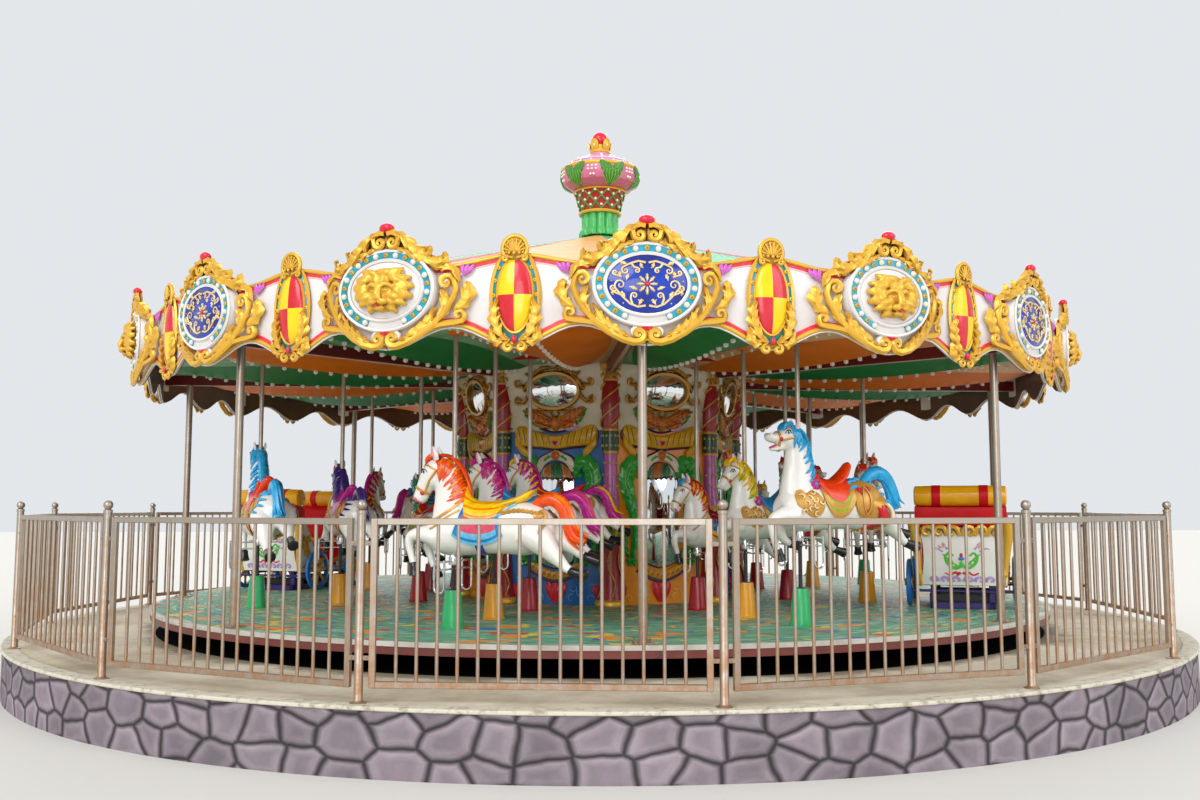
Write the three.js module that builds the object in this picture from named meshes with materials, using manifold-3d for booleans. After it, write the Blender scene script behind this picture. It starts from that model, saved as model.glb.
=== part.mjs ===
// A fairground carousel: a round masonry plinth with a steel fence, and a turning machine of
// platform, centre drum, eight columns, canopy, two chariots and twenty-two jumping horses.
// Units are millimetres, +Z is up, and the origin is on the ground under the centre.
// Column 1 stands on the -Y axis, and the numbers run anticlockwise seen from above.

import * as THREE from "three";
import { mergeVertices } from "three/addons/utils/BufferGeometryUtils.js";
import Module from "manifold-3d";

const wasm = await Module();
wasm.setup();

// Driving dimensions
const BAYS = 8;
const BAY_ANGLE = (2 * Math.PI) / BAYS;
const SEAT = 0.3; // gap between pieces that touch

const PLINTH_RADIUS = 5700;
const PLINTH_HEIGHT = 420;
const PLINTH_LIP = 15; // how far the lip stands out
const LIP_HEIGHT = 25;
const BASE_TOP = 515;
const BASE_FLANGE_RADIUS = 700;
const BASE_FLANGE_HEIGHT = 40;
const BEARING_RADIUS = 420;

const FENCE_RADIUS = 5615;
const FENCE_BAYS = 16;
const FENCE_TURN = THREE.MathUtils.degToRad(3.6); // the posts stand a little off the columns' lines
const POST_HEIGHT = 1160;
const POST_RADIUS = 27;
const POST_BALL_RADIUS = 34;
const PANEL_FOOT = 90;
const PANEL_HEIGHT = 1105;
const PANEL_TUBE = 40;
const PANEL_THICKNESS = 30;
const PANEL_BARS = 3; // every fourth bar of the real panel
const BAR_WIDTH = 22;
const PANEL_TO_POST = 62;
const BRACKET_THICKNESS = 8;
const BRACKET_HEIGHT = 30;
const OPEN_FENCE_BAY = 7; // the entrance, on the far side

const FLOOR_TOP = 650;
const FLOOR_THICKNESS = 40;
const FLOOR_RADIUS = 4480;
const EDGE_RADIUS = 4520;
const EDGE_DROP = 90;
const HUB_RADIUS = 600;
const HUB_TOP_RADIUS = 900;
const CONE_HEIGHT = 300;
const CONE_FOOT_RADIUS = 95;
const CONE_TOP_RADIUS = 62;

const COLUMN_CIRCLE = 4395;
const COLUMN_RADIUS = 33;
const COLUMN_PLATE = 150;
const COLUMN_PLATE_THICKNESS = 10;

const DRUM_COLUMN_CIRCLE = 1465;
const DRUM_APOTHEM = 1330;
const CAPITAL_RADIUS = 125;
const FRIEZE_FOOT = 2330;
const FRIEZE_FLARE = 120;

const BEAM_TOP = 2990;
const BEAM_HEIGHT = 110;
const BEAM_WIDTH = 90;
const CEILING_THICKNESS = 24;
const CANOPY_RADIUS = 4540;
const ROOF_EAVE = 3290;
const ROOF_PEAK = 4560;
const ROOF_CAP_RADIUS = 150;
const ROOF_SKIN = 30;

const BOARD_APOTHEM = 4600;
const BOARD_THICKNESS = 28;
const BOARD_LOW = 2775;
const BOARD_HIGH = 3350;
const ORNAMENT_THICKNESS = 60;
const FINIAL_MIDDLE = 5140; // where the bowl of the lid stands on the basket

const ROW_RADII = { outer: 3600, middle: 2820, inner: 2025 };
const ROW_SCALES = { outer: 1, middle: 0.88, inner: 0.8 };
const CHARIOT_BAYS = [3, 7];
const CHARIOT_RADIUS = ROW_RADII.outer + 140;
const POLE_RADIUS = 20;
const POLE_TOP = 3230;
const BELLY_HEIGHT = 1305; // of a horse in the middle of its stroke
const ROD_FOOT = 790; // lower end of the rod, in the middle of the stroke
const JUMP = 90; // how far the low and high horses stand from the middle at rest

// Materials
const colour = (hex, roughness, metalness = 0) =>
  new THREE.MeshStandardMaterial({ color: hex, roughness, metalness });
const masonry = colour(0x9a8a92, 0.9);
const stainless = colour(0xb9b3a8, 0.35, 1);
const darkSteel = colour(0x3a3532, 0.6, 0.6);
const floorPaint = colour(0x5f9c80, 0.5);
const edgePaint = colour(0x8a4038, 0.6);
const drumPaint = colour(0x1f4f8c, 0.4);
const ceilingPaint = colour(0xd9833a, 0.6);
const roofPaint = colour(0xe8a040, 0.5);
const boardPaint = colour(0xf2efe6, 0.35);
const goldPaint = colour(0xc8963a, 0.35, 0.3);
const pinkPaint = colour(0xe88aa0, 0.4);
const horseGloss = colour(0xf1efe9, 0.25);
const chariotGloss = colour(0xe9e6df, 0.3);

// A closed geometry as a solid that can be joined and cut.
function solid(geometry) {
  const bare = geometry.clone();
  bare.deleteAttribute("normal");
  bare.deleteAttribute("uv");
  const merged = mergeVertices(bare, 1e-3);
  return new wasm.Manifold(
    new wasm.Mesh({
      numProp: 3,
      vertProperties: Float32Array.from(merged.attributes.position.array),
      triVerts: Uint32Array.from(merged.index.array),
    }),
  );
}

function geometryOf(body) {
  const { vertProperties, triVerts } = body.getMesh();
  const geometry = new THREE.BufferGeometry();
  geometry.setAttribute("position", new THREE.BufferAttribute(vertProperties, 3));
  geometry.setIndex(new THREE.BufferAttribute(triVerts, 1));
  geometry.computeVertexNormals();
  return geometry;
}

function join(geometries) {
  return geometryOf(geometries.map(solid).reduce((a, b) => a.add(b)));
}

function piece(name, geometry, material) {
  const mesh = new THREE.Mesh(geometry, material);
  mesh.name = name;
  return mesh;
}

// Shapes that the pieces are made of
function block(width, depth, height, x, y, z) {
  return new THREE.BoxGeometry(width, depth, height).translate(x, y, z + height / 2);
}

function post(radius, bottom, top, sides, topRadius = radius) {
  return new THREE.CylinderGeometry(topRadius, radius, top - bottom, sides)
    .rotateX(Math.PI / 2)
    .translate(0, 0, (top + bottom) / 2);
}

// A solid of revolution about Z from [radius, height] points, anticlockwise in the half-plane.
function turned(points, segments) {
  const profile = points.map(([radius, height]) => new THREE.Vector2(radius, height));
  return new THREE.LatheGeometry(profile, segments).rotateX(Math.PI / 2);
}

function ring(inner, outer, bottom, top, segments) {
  return turned(
    [
      [inner, bottom],
      [outer, bottom],
      [outer, top],
      [inner, top],
      [inner, bottom],
    ],
    segments,
  );
}

// A flat plate in the XZ plane from [x, z] points, its thickness centred on Y.
function plate(points, thickness) {
  const shape = new THREE.Shape(points.map(([x, z]) => new THREE.Vector2(x, z)));
  return new THREE.ExtrudeGeometry(shape, { depth: thickness, bevelEnabled: false })
    .translate(0, 0, -thickness / 2)
    .rotateX(Math.PI / 2);
}

// Moves a geometry from the -Y axis to the given angle and radius, facing outwards.
function around(geometry, angle, radius = 0) {
  return geometry.translate(0, -radius, 0).rotateZ(angle);
}

const carousel = new THREE.Group();
const turning = new THREE.Group();
const still = new THREE.Group();
carousel.add(still, turning);

// Masonry plinth with a thin lip along the top of its painted wall.
still.add(
  piece(
    "plinth",
    turned(
      [
        [0, 0],
        [PLINTH_RADIUS, 0],
        [PLINTH_RADIUS, PLINTH_HEIGHT - LIP_HEIGHT],
        [PLINTH_RADIUS + PLINTH_LIP, PLINTH_HEIGHT - LIP_HEIGHT],
        [PLINTH_RADIUS + PLINTH_LIP, PLINTH_HEIGHT],
        [0, PLINTH_HEIGHT],
      ],
      48,
    ),
    masonry,
  ),
);

// Steel base that carries the turning frame on its bearing.
const flangeTop = PLINTH_HEIGHT + BASE_FLANGE_HEIGHT;
still.add(
  piece(
    "centre_base",
    join([
      post(BASE_FLANGE_RADIUS, PLINTH_HEIGHT + SEAT, flangeTop, 16),
      post(BEARING_RADIUS, flangeTop - 10, BASE_TOP, 16),
    ]),
    darkSteel,
  ),
);

// A fence post with a ball on top, and the brackets that hold the panels on its two sides.
const fenceStep = (2 * Math.PI) / FENCE_BAYS;
const fenceChord = 2 * FENCE_RADIUS * Math.sin(fenceStep / 2);
const fenceApothem = FENCE_RADIUS * Math.cos(fenceStep / 2);
const panelFoot = PLINTH_HEIGHT + PANEL_FOOT;
const panelHead = PLINTH_HEIGHT + PANEL_HEIGHT;
const bracketHeights = [panelFoot + 150, panelHead - 180];
const joinedReach = PANEL_TO_POST + 8; // of a bracket, into the panel of its own section
// Towards the next section it lies square to the post, so it stops short of the turned panel.
const freeReach =
  PANEL_TO_POST * Math.cos(fenceStep / 2) - (BRACKET_THICKNESS / 2) * Math.sin(fenceStep / 2) - 3;

function reachBefore(index) {
  if (index - 1 === OPEN_FENCE_BAY) return 0;
  return index % 2 === 1 ? joinedReach : freeReach;
}

function fencePost(index) {
  const foot = PLINTH_HEIGHT + SEAT;
  const top = PLINTH_HEIGHT + POST_HEIGHT;
  const before = reachBefore(index);
  const after = index === OPEN_FENCE_BAY ? 0 : joinedReach;
  const middle = (after - before) / 2;
  const brackets = bracketHeights.map((z) =>
    block(before + after, BRACKET_THICKNESS, BRACKET_HEIGHT, middle, 0, z),
  );
  const ball = new THREE.SphereGeometry(POST_BALL_RADIUS, 5, 3)
    .rotateX(Math.PI / 2)
    .translate(0, 0, top + POST_BALL_RADIUS - 10);
  return [post(POST_RADIUS, foot, top, 6), ball, ...brackets];
}

// The panel is one welded frame: the gaps between its bars are cut out of a flat plate.
function fencePanel() {
  const half = fenceChord / 2 - PANEL_TO_POST;
  const clear = 2 * (half - PANEL_TUBE);
  const pitch = (clear + BAR_WIDTH) / (PANEL_BARS + 1);
  const gapFoot = panelFoot + PANEL_TUBE;
  const gapHeight = panelHead - PANEL_TUBE - gapFoot;
  let panel = solid(block(2 * half, PANEL_THICKNESS, panelHead - panelFoot, 0, 0, panelFoot));
  for (let i = 0; i <= PANEL_BARS; i += 1) {
    const x = -clear / 2 + (i + 0.5) * pitch - BAR_WIDTH / 2;
    const gap = block(pitch - BAR_WIDTH, 2 * PANEL_THICKNESS, gapHeight, x, 0, gapFoot);
    panel = panel.subtract(solid(gap));
  }
  return geometryOf(panel);
}

function bayOfFence(index) {
  const angle = FENCE_TURN + index * fenceStep;
  const parts = fencePost(index).map((shape) => around(shape, angle, FENCE_RADIUS));
  if (index !== OPEN_FENCE_BAY) {
    parts.push(around(fencePanel(), angle + fenceStep / 2, fenceApothem));
  }
  return parts;
}

for (let section = 0; section < FENCE_BAYS / 2; section += 1) {
  const first = 2 * section;
  const body = join([...bayOfFence(first), ...bayOfFence(first + 1)]);
  still.add(piece(`fence_section_${section + 1}`, body, stainless));
}

// Where the horses stand
function* horses() {
  for (const row of ["outer", "middle", "inner"]) {
    for (let bay = 1; bay <= BAYS; bay += 1) {
      if (row === "outer" && CHARIOT_BAYS.includes(bay)) continue;
      yield { row, bay, angle: (bay - 1.5) * BAY_ANGLE, radius: ROW_RADII[row] };
    }
  }
}

// Painted floor on its steel hub, with a tapered guide cone under each pole.
const hubBottom = BASE_TOP + SEAT;
const guideBore = POLE_RADIUS + 0.5;
const floorParts = [
  post(FLOOR_RADIUS, FLOOR_TOP - FLOOR_THICKNESS, FLOOR_TOP, 40),
  post(HUB_RADIUS, hubBottom, FLOOR_TOP - FLOOR_THICKNESS + 10, 16, HUB_TOP_RADIUS),
];
for (const { angle, radius } of horses()) {
  const cone = turned(
    [
      [0, FLOOR_TOP - 10],
      [CONE_FOOT_RADIUS, FLOOR_TOP - 10],
      [CONE_TOP_RADIUS, FLOOR_TOP + CONE_HEIGHT],
      [guideBore, FLOOR_TOP + CONE_HEIGHT],
      [guideBore, FLOOR_TOP + 5],
      [0, FLOOR_TOP + 5],
    ],
    6,
  );
  floorParts.push(around(cone, angle, radius));
}
turning.add(piece("floor_deck", join(floorParts), floorPaint));

turning.add(
  piece(
    "platform_edge",
    ring(FLOOR_RADIUS + SEAT, EDGE_RADIUS, FLOOR_TOP - EDGE_DROP, FLOOR_TOP, 40),
    edgePaint,
  ),
);

// Stainless columns on bolted plates, each carrying the beam that runs in to the drum.
const columnFoot = FLOOR_TOP + SEAT;
const beamBottom = BEAM_TOP - BEAM_HEIGHT;
const boardStep = BAY_ANGLE / 2;
const boardCorner = (BOARD_APOTHEM - BOARD_THICKNESS) / Math.cos(boardStep / 2);
const beamOuterEnd = boardCorner - (BEAM_WIDTH / 2) * Math.tan(boardStep / 2) - SEAT;
const beamInnerEnd = DRUM_COLUMN_CIRCLE + CAPITAL_RADIUS + SEAT;
for (let i = 0; i < BAYS; i += 1) {
  const length = beamOuterEnd - beamInnerEnd;
  const column = join([
    post(COLUMN_RADIUS, columnFoot, beamBottom + 10, 12),
    block(COLUMN_PLATE, COLUMN_PLATE, COLUMN_PLATE_THICKNESS, 0, 0, columnFoot),
    block(BEAM_WIDTH, length, BEAM_HEIGHT, 0, 0, beamBottom).translate(
      0,
      COLUMN_CIRCLE - (beamOuterEnd + beamInnerEnd) / 2,
      0,
    ),
  ]);
  around(column, i * BAY_ANGLE, COLUMN_CIRCLE);
  turning.add(piece(`column_and_beam_${i + 1}`, column, stainless));
}

// Centre drum: eight panels, a turned column at each corner and a flared frieze above.
const drumFoot = FLOOR_TOP + SEAT;
const drumHead = BEAM_TOP;
const octagon = Math.cos(Math.PI / 8);
function octagonal(points) {
  const corners = points.map(([apothem, height]) => [apothem / octagon, height]);
  return turned(corners, 8);
}
const drumParts = [
  octagonal([
    [0, drumFoot],
    [DRUM_APOTHEM, drumFoot],
    [DRUM_APOTHEM, FRIEZE_FOOT],
    [DRUM_APOTHEM + FRIEZE_FLARE, drumHead],
    [0, drumHead],
  ]),
];
for (let i = 0; i < BAYS; i += 1) {
  const column = turned(
    [
      [0, drumFoot],
      [150, drumFoot],
      [85, 1265],
      [64, 2120],
      [84, 2230],
      [64, 2340],
      [CAPITAL_RADIUS, drumHead],
      [0, drumHead],
    ],
    6,
  );
  drumParts.push(around(column, i * BAY_ANGLE, DRUM_COLUMN_CIRCLE));
}
turning.add(piece("centre_drum", join(drumParts), drumPaint));

// Ceiling with a hole for each pole
const ceilingBottom = BEAM_TOP + SEAT;
const ceilingTop = ceilingBottom + CEILING_THICKNESS;
function circle(radius, sides, x = 0, y = 0) {
  return Array.from({ length: sides }, (_, i) => {
    const angle = (2 * Math.PI * i) / sides;
    return new THREE.Vector2(x + radius * Math.cos(angle), y + radius * Math.sin(angle));
  });
}
const ceilingShape = new THREE.Shape(circle(CANOPY_RADIUS, 32));
for (const { angle, radius } of horses()) {
  const x = radius * Math.sin(angle);
  const y = -radius * Math.cos(angle);
  ceilingShape.holes.push(new THREE.Path(circle(POLE_RADIUS + 13, 4, x, y)));
}
turning.add(
  piece(
    "ceiling",
    new THREE.ExtrudeGeometry(ceilingShape, {
      depth: CEILING_THICKNESS,
      bevelEnabled: false,
    }).translate(0, 0, ceilingBottom),
    ceilingPaint,
  ),
);

// Roof: a low cone on a drum-like upstand that stands on the ceiling.
turning.add(
  piece(
    "roof",
    turned(
      [
        [0, ROOF_PEAK - ROOF_SKIN],
        [CANOPY_RADIUS - ROOF_SKIN, ROOF_EAVE - ROOF_SKIN],
        [CANOPY_RADIUS - ROOF_SKIN, ceilingTop + SEAT],
        [CANOPY_RADIUS, ceilingTop + SEAT],
        [CANOPY_RADIUS, ROOF_EAVE],
        [ROOF_CAP_RADIUS, ROOF_PEAK],
        [0, ROOF_PEAK],
      ],
      32,
    ),
    roofPaint,
  ),
);

// Rounding boards: two scalloped boards, a shield on each, a lion medallion between them and
// a blue medallion over the joint with the next pair.
const boardHalf = (BOARD_APOTHEM - BOARD_THICKNESS) * Math.tan(boardStep / 2) - SEAT;
const cornerRadius = BOARD_APOTHEM / Math.cos(boardStep / 2);
function boardOutline() {
  const points = [];
  const steps = 8;
  for (let i = 0; i <= steps; i += 1) {
    const t = (2 * i) / steps - 1;
    points.push([t * boardHalf, BOARD_LOW - 75 * Math.cos(2 * Math.PI * t)]);
  }
  for (let i = 2; i >= 0; i -= 1) {
    const t = i - 1;
    points.push([t * boardHalf, BOARD_HIGH + 60 * Math.cos(Math.PI * t)]);
  }
  return points;
}
const medallionOutline = [
  [0, 2705],
  [190, 2850],
  [285, 3000],
  [270, 3240],
  [60, 3400],
  [0, 3570],
  [-60, 3400],
  [-270, 3240],
  [-285, 3000],
  [-190, 2850],
];
const shieldOutline = [
  [0, 2680],
  [140, 2900],
  [120, 3380],
  [0, 3530],
  [-120, 3380],
  [-140, 2900],
];
function shieldedBoard(angle) {
  const board = plate(boardOutline(), BOARD_THICKNESS);
  const shield = plate(shieldOutline, ORNAMENT_THICKNESS);
  return [
    around(board, angle, BOARD_APOTHEM - BOARD_THICKNESS / 2),
    around(shield, angle, BOARD_APOTHEM + 20),
  ];
}
for (let i = 0; i < BAYS; i += 1) {
  const start = i * BAY_ANGLE;
  const lion = plate(medallionOutline, ORNAMENT_THICKNESS);
  const crest = plate(medallionOutline, ORNAMENT_THICKNESS);
  // The boss between the second board and the medallion at its far end
  const boss = block(150, 50, 300, boardHalf - 95, 0, 2950);
  const parts = [
    ...shieldedBoard(start + boardStep / 2),
    ...shieldedBoard(start + 1.5 * boardStep),
    around(lion, start + boardStep, cornerRadius + 10),
    around(crest, start + 2 * boardStep, cornerRadius + SEAT + 30),
    around(boss, start + 1.5 * boardStep, BOARD_APOTHEM + 15),
  ];
  turning.add(piece(`rounding_board_${i + 1}`, join(parts), boardPaint));
}

// Finial: a fluted neck and basket, then a domed lid with a crown and a ball.
turning.add(
  piece(
    "finial_basket",
    turned(
      [
        [0, ROOF_PEAK + SEAT],
        [145, ROOF_PEAK + SEAT],
        [230, 4640],
        [225, 4810],
        [270, 4850],
        [400, FINIAL_MIDDLE],
        [0, FINIAL_MIDDLE],
      ],
      16,
    ),
    pinkPaint,
  ),
);
turning.add(
  piece(
    "finial_dome",
    turned(
      [
        [0, FINIAL_MIDDLE + SEAT],
        [405, FINIAL_MIDDLE + SEAT],
        [435, 5310],
        [330, 5420],
        [110, 5510],
        [125, 5660],
        [60, 5690],
        [68, 5730],
        [0, 5765],
      ],
      16,
    ),
    goldPaint,
  ),
);

// Chariot: two facing benches on a steel base between four spoked wheels. +X is the way it goes.
const sideOutline = [
  [-560, 870],
  [560, 870],
  [620, 1400],
  [420, 1250],
  [250, 950],
  [-250, 950],
  [-420, 1250],
  [-620, 1400],
];
const COACH_WIDTH = 760;
const COACH_FLOOR = 860;
const AXLE_TO_MIDDLE = 400;
const WHEEL_RADIUS = 205;
const WHEEL_TO_MIDDLE = 480;
const ROLL_RADIUS = 95;

function chariot() {
  const floor = FLOOR_TOP + SEAT;
  const axleHeight = floor + WHEEL_RADIUS + 20;
  const sidePlace = COACH_WIDTH / 2 - 5;
  const rail = (y) => block(1180, 60, 60, 0, y, floor);
  const parts = [
    rail(-260),
    rail(260),
    block(60, 580, 220, -420, 0, floor + 20),
    block(60, 580, 220, 420, 0, floor + 20),
    block(1100, COACH_WIDTH, 50, 0, 0, COACH_FLOOR),
    plate(sideOutline, 50).translate(0, sidePlace, 0),
    plate(sideOutline, 50).translate(0, -sidePlace, 0),
  ];
  for (const end of [-1, 1]) {
    parts.push(block(300, COACH_WIDTH, 280, end * AXLE_TO_MIDDLE, 0, COACH_FLOOR + 20));
    const back = block(70, 800, 640, 0, 0, 0).rotateY(end * 0.12);
    parts.push(back.translate(end * 560, 0, 930));
    const roll = new THREE.CylinderGeometry(ROLL_RADIUS, ROLL_RADIUS, 820, 8);
    parts.push(roll.translate(end * 640, 0, 1640));
    for (const side of [-1, 1]) {
      const x = end * AXLE_TO_MIDDLE;
      const wheel = new THREE.CylinderGeometry(WHEEL_RADIUS, WHEEL_RADIUS, 50, 10);
      parts.push(wheel.translate(x, side * WHEEL_TO_MIDDLE, axleHeight));
      const axle = new THREE.CylinderGeometry(30, 30, 300, 4);
      parts.push(axle.translate(x, side * (WHEEL_TO_MIDDLE - 120), axleHeight));
    }
  }
  return join(parts);
}
CHARIOT_BAYS.forEach((bay, i) => {
  const angle = (bay - 1.5) * BAY_ANGLE;
  const geometry = chariot();
  // The machine turns clockwise seen from above, so on the -Y axis it goes towards -X.
  geometry.rotateZ(Math.PI);
  around(geometry, angle, CHARIOT_RADIUS);
  turning.add(piece(`chariot_${i + 1}`, geometry, chariotGloss));
});

// Horse outlines from the side, about the pole and the lowest point of the belly.
// +X is the way that the horse goes.
const torsoOutline = [
  [-840, 260],
  [-740, 60],
  [-600, 10],
  [100, 0],
  [190, 160],
  [120, 350],
  [-560, 405],
  [-760, 370],
];
const headOutline = [
  [155, 250],
  [150, 470],
  [300, 385],
  [350, 450],
  [190, 720],
  [110, 800],
  [-70, 640],
  [-165, 300],
];
const frontLegOutline = [
  [60, 60],
  [265, 95],
  [220, -145],
  [300, -145],
  [345, 155],
  [90, 230],
];
const hindLegOutline = [
  [-640, 60],
  [-720, 290],
  [-960, 130],
  [-1200, -110],
  [-1050, -130],
  [-870, 30],
];
const tailOutline = [
  [-700, 330],
  [-850, 450],
  [-1020, 350],
  [-1110, 120],
  [-960, 40],
  [-900, 290],
];
function horse(scale, lift) {
  const belly = BELLY_HEIGHT + lift;
  const figure = [
    plate(torsoOutline, 270),
    plate(headOutline, 150),
    plate(frontLegOutline, 70).translate(0, 75, 0),
    plate(frontLegOutline, 70).translate(-40, -75, 0),
    plate(hindLegOutline, 80).translate(0, 85, 0),
    plate(hindLegOutline, 80).translate(30, -85, 0),
    plate(tailOutline, 90),
  ];
  for (const part of figure) part.scale(scale, scale, scale).translate(0, 0, belly);
  return join([...figure, post(POLE_RADIUS, ROD_FOOT + lift, POLE_TOP + lift, 6)]);
}

// Some horses stand low and some high at rest, so that the rows look alive.
const lifts = { middle: 0, low: -JUMP, high: JUMP };
function restLevel({ row, bay }) {
  if (row === "outer") return { 1: "low", 5: "middle", 8: "middle" }[bay] ?? "high";
  if (row === "middle") return "middle";
  return bay % 2 === 0 ? "low" : "high";
}
for (const place of horses()) {
  const geometry = horse(ROW_SCALES[place.row], lifts[restLevel(place)]);
  geometry.rotateZ(Math.PI);
  around(geometry, place.angle, place.radius);
  const name = `${place.row}_horse_${place.bay}`;
  turning.add(piece(name, geometry, horseGloss));
}

export default carousel;
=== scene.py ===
"""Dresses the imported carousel: a fenced round plinth with a turning platform, centre drum and canopy,
two chariots and twenty-two jumping horses. Metres, +Z up, the front column on the -Y axis."""

import math

import bmesh
import bpy
import numpy as np
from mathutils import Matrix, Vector
from mathutils.bvhtree import BVHTree


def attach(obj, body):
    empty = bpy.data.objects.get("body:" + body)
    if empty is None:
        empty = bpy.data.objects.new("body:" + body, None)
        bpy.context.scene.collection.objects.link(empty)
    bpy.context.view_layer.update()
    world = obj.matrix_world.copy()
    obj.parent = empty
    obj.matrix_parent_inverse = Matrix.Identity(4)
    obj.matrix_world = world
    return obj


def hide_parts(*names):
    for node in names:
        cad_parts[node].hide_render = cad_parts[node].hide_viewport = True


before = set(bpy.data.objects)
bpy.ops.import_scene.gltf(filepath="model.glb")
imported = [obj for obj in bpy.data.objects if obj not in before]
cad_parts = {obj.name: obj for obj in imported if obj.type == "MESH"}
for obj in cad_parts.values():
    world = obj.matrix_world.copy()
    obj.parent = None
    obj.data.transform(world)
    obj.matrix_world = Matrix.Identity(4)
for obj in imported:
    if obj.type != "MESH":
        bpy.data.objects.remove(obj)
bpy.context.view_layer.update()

# The stage: a pale seamless floor under a wide overcast sky, with the camera at a grown-up's eye
# height a little left of the front column. The plinth stands on the floor.
EYE = (-0.842, -12.351, 1.6)
EYE_TILT = math.radians(5.33)  # the camera looks a little upwards
LENS = 34.05
SENSOR_WIDTH = 36
FAR_CLIP = 200
STAGE_HALF = 60  # half the width of the studio's floor
FLOOR_COLOUR = "#d9d6cf"
SKY_COLOUR = "#eef2f6"
SKY_STRENGTH = 0.9


def linear(hex_colour):
    """An sRGB hex colour as linear red, green, blue and alpha."""
    channels = [int(hex_colour[i : i + 2], 16) / 255 for i in (1, 3, 5)]
    return [c / 12.92 if c <= 0.04045 else ((c + 0.055) / 1.055) ** 2.4 for c in channels] + [1.0]


def feed(node, inputs):
    """Sets a node's sockets, each to a value, to an output or to another node's first output."""
    for socket, value in inputs.items():
        if isinstance(value, bpy.types.Node):
            value = value.outputs[0]
        if isinstance(value, bpy.types.NodeSocket):
            node.id_data.links.new(value, node.inputs[socket])
        else:
            node.inputs[socket].default_value = value


def add_node(material, kind, inputs=None, **settings):
    """Adds a shader node of a kind with its settings, and feeds its sockets."""
    made = material.node_tree.nodes.new("ShaderNode" + kind)
    for setting, value in settings.items():
        setattr(made, setting, value)
    feed(made, inputs or {})
    return made


camera = bpy.data.objects.new("camera", bpy.data.cameras.new("camera"))
bpy.context.scene.collection.objects.link(camera)
camera.location = EYE
heading = math.atan2(-EYE[0], -EYE[1])
camera.rotation_euler = (math.radians(90) + EYE_TILT, 0, -heading)
camera.data.lens = LENS
camera.data.sensor_width = SENSOR_WIDTH
camera.data.clip_end = FAR_CLIP
bpy.context.scene.camera = camera

bpy.context.scene.view_settings.view_transform = "Standard"  # paints show as bright as they are
sky = bpy.data.worlds.new("overcast_sky")
bpy.context.scene.world = sky
sky.use_nodes = True
feed(sky.node_tree.nodes["Background"], {"Color": linear(SKY_COLOUR), "Strength": SKY_STRENGTH})


def soft_light(name, place, aim, width, strength):
    """An even light from far off, width degrees across in the sky, so that its shadows are soft."""
    light = bpy.data.objects.new(name, bpy.data.lights.new(name, "SUN"))
    bpy.context.scene.collection.objects.link(light)
    light.location = place
    toward = np.subtract(aim, place)
    yaw = math.atan2(toward[1], toward[0])
    fall = math.atan2(-toward[2], math.hypot(toward[0], toward[1]))
    light.rotation_euler = (0, fall - math.radians(90), yaw)
    light.data.angle = math.radians(width)
    light.data.energy = strength


soft_light("key_light", (-7, -13, 11), (0, -2, 2), 35, 1.55)
soft_light("fill_light", (12, -9, 8), (0, 0, 2), 35, 0.7)
soft_light("back_light", (2, 15, 12), (0, 0, 3), 40, 0.9)
soft_light("low_front_light", (-3, -20, 5.0), (0, 0, 2.2), 25, 0.6)

floor_paint = bpy.data.materials.new("studio_floor_paint")
floor_paint.use_nodes = True
feed(floor_paint.node_tree.nodes["Principled BSDF"], {"Base Color": linear(FLOOR_COLOUR), "Roughness": 0.9})
studio_floor = bpy.data.objects.new("studio_floor", bpy.data.meshes.new("studio_floor"))
stage_corners = [(STAGE_HALF * x, STAGE_HALF * y, 0) for x, y in ((-1, -1), (1, -1), (1, 1), (-1, 1))]
studio_floor.data.from_pydata(stage_corners, [], [(0, 1, 2, 3)])
studio_floor.data.materials.append(floor_paint)
bpy.context.scene.collection.objects.link(studio_floor)

# The plinth: a round wall of rendered blockwork, painted by hand as rounded mauve stones with
# airbrushed dark joints, under a cast concrete top with a thin pale lip.
PLINTH_RADIUS = 5.7
PLINTH_HEIGHT = 0.42
PLINTH_LIP = 0.015
STONE_SIZE = 0.225  # across one painted stone
JOINT_WIDTH = 0.022
LIP_HEIGHT = 0.025
LIP_DEPTH = 0.12
WELL_RADIUS = 4.46  # the slab is painted black inside this, as the shadow under the platform


def painted(name, colour, roughness=0.5, metallic=0.0, **constants):
    """A new material, its shader with the values that are the same all over, and the place on it."""
    material = bpy.data.materials.new(name)
    material.use_nodes = True
    shader = material.node_tree.nodes["Principled BSDF"]
    feed(shader, {"Base Color": linear(colour), "Roughness": roughness, "Metallic": metallic})
    feed(shader, {socket.replace("_", " "): value for socket, value in constants.items()})
    return material, shader, add_node(material, "TexCoord").outputs["Object"]


def grid_faces(rows, wide, closed=True, looped=False):
    """The faces of a grid of points whose rows may close and whose last row may join the first."""
    return [(row * wide + i, row * wide + (i + 1) % wide, (row + 1) % rows * wide + (i + 1) % wide,
             (row + 1) % rows * wide + i) for row in range(rows - (not looped)) for i in range(wide - (not closed))]


def turned(profile, material, segments=48):
    """A solid turned about Z from (radius, height) points, and closed on the axis at both ends."""
    if profile[0][0]:
        profile = [(0, profile[0][1]), *profile, (0, profile[-1][1])]
    vertices, rings = [], []
    for radius, height in profile:
        if radius < 1e-6:
            rings.append([len(vertices)] * segments)
            vertices.append((0, 0, height))
            continue
        first = len(vertices)
        rings.append(list(range(first, first + segments)))
        for i in range(segments):
            turn = 2 * math.pi * i / segments
            vertices.append((radius * math.sin(turn), -radius * math.cos(turn), height))
    faces = []
    for low, high in zip(rings, rings[1:]):
        for i in range(segments):
            j = (i + 1) % segments
            corners = dict.fromkeys((low[i], low[j], high[j], high[i]))
            if len(corners) > 2:
                faces.append(tuple(corners))
    return np.array(vertices, float), faces, material


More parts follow.
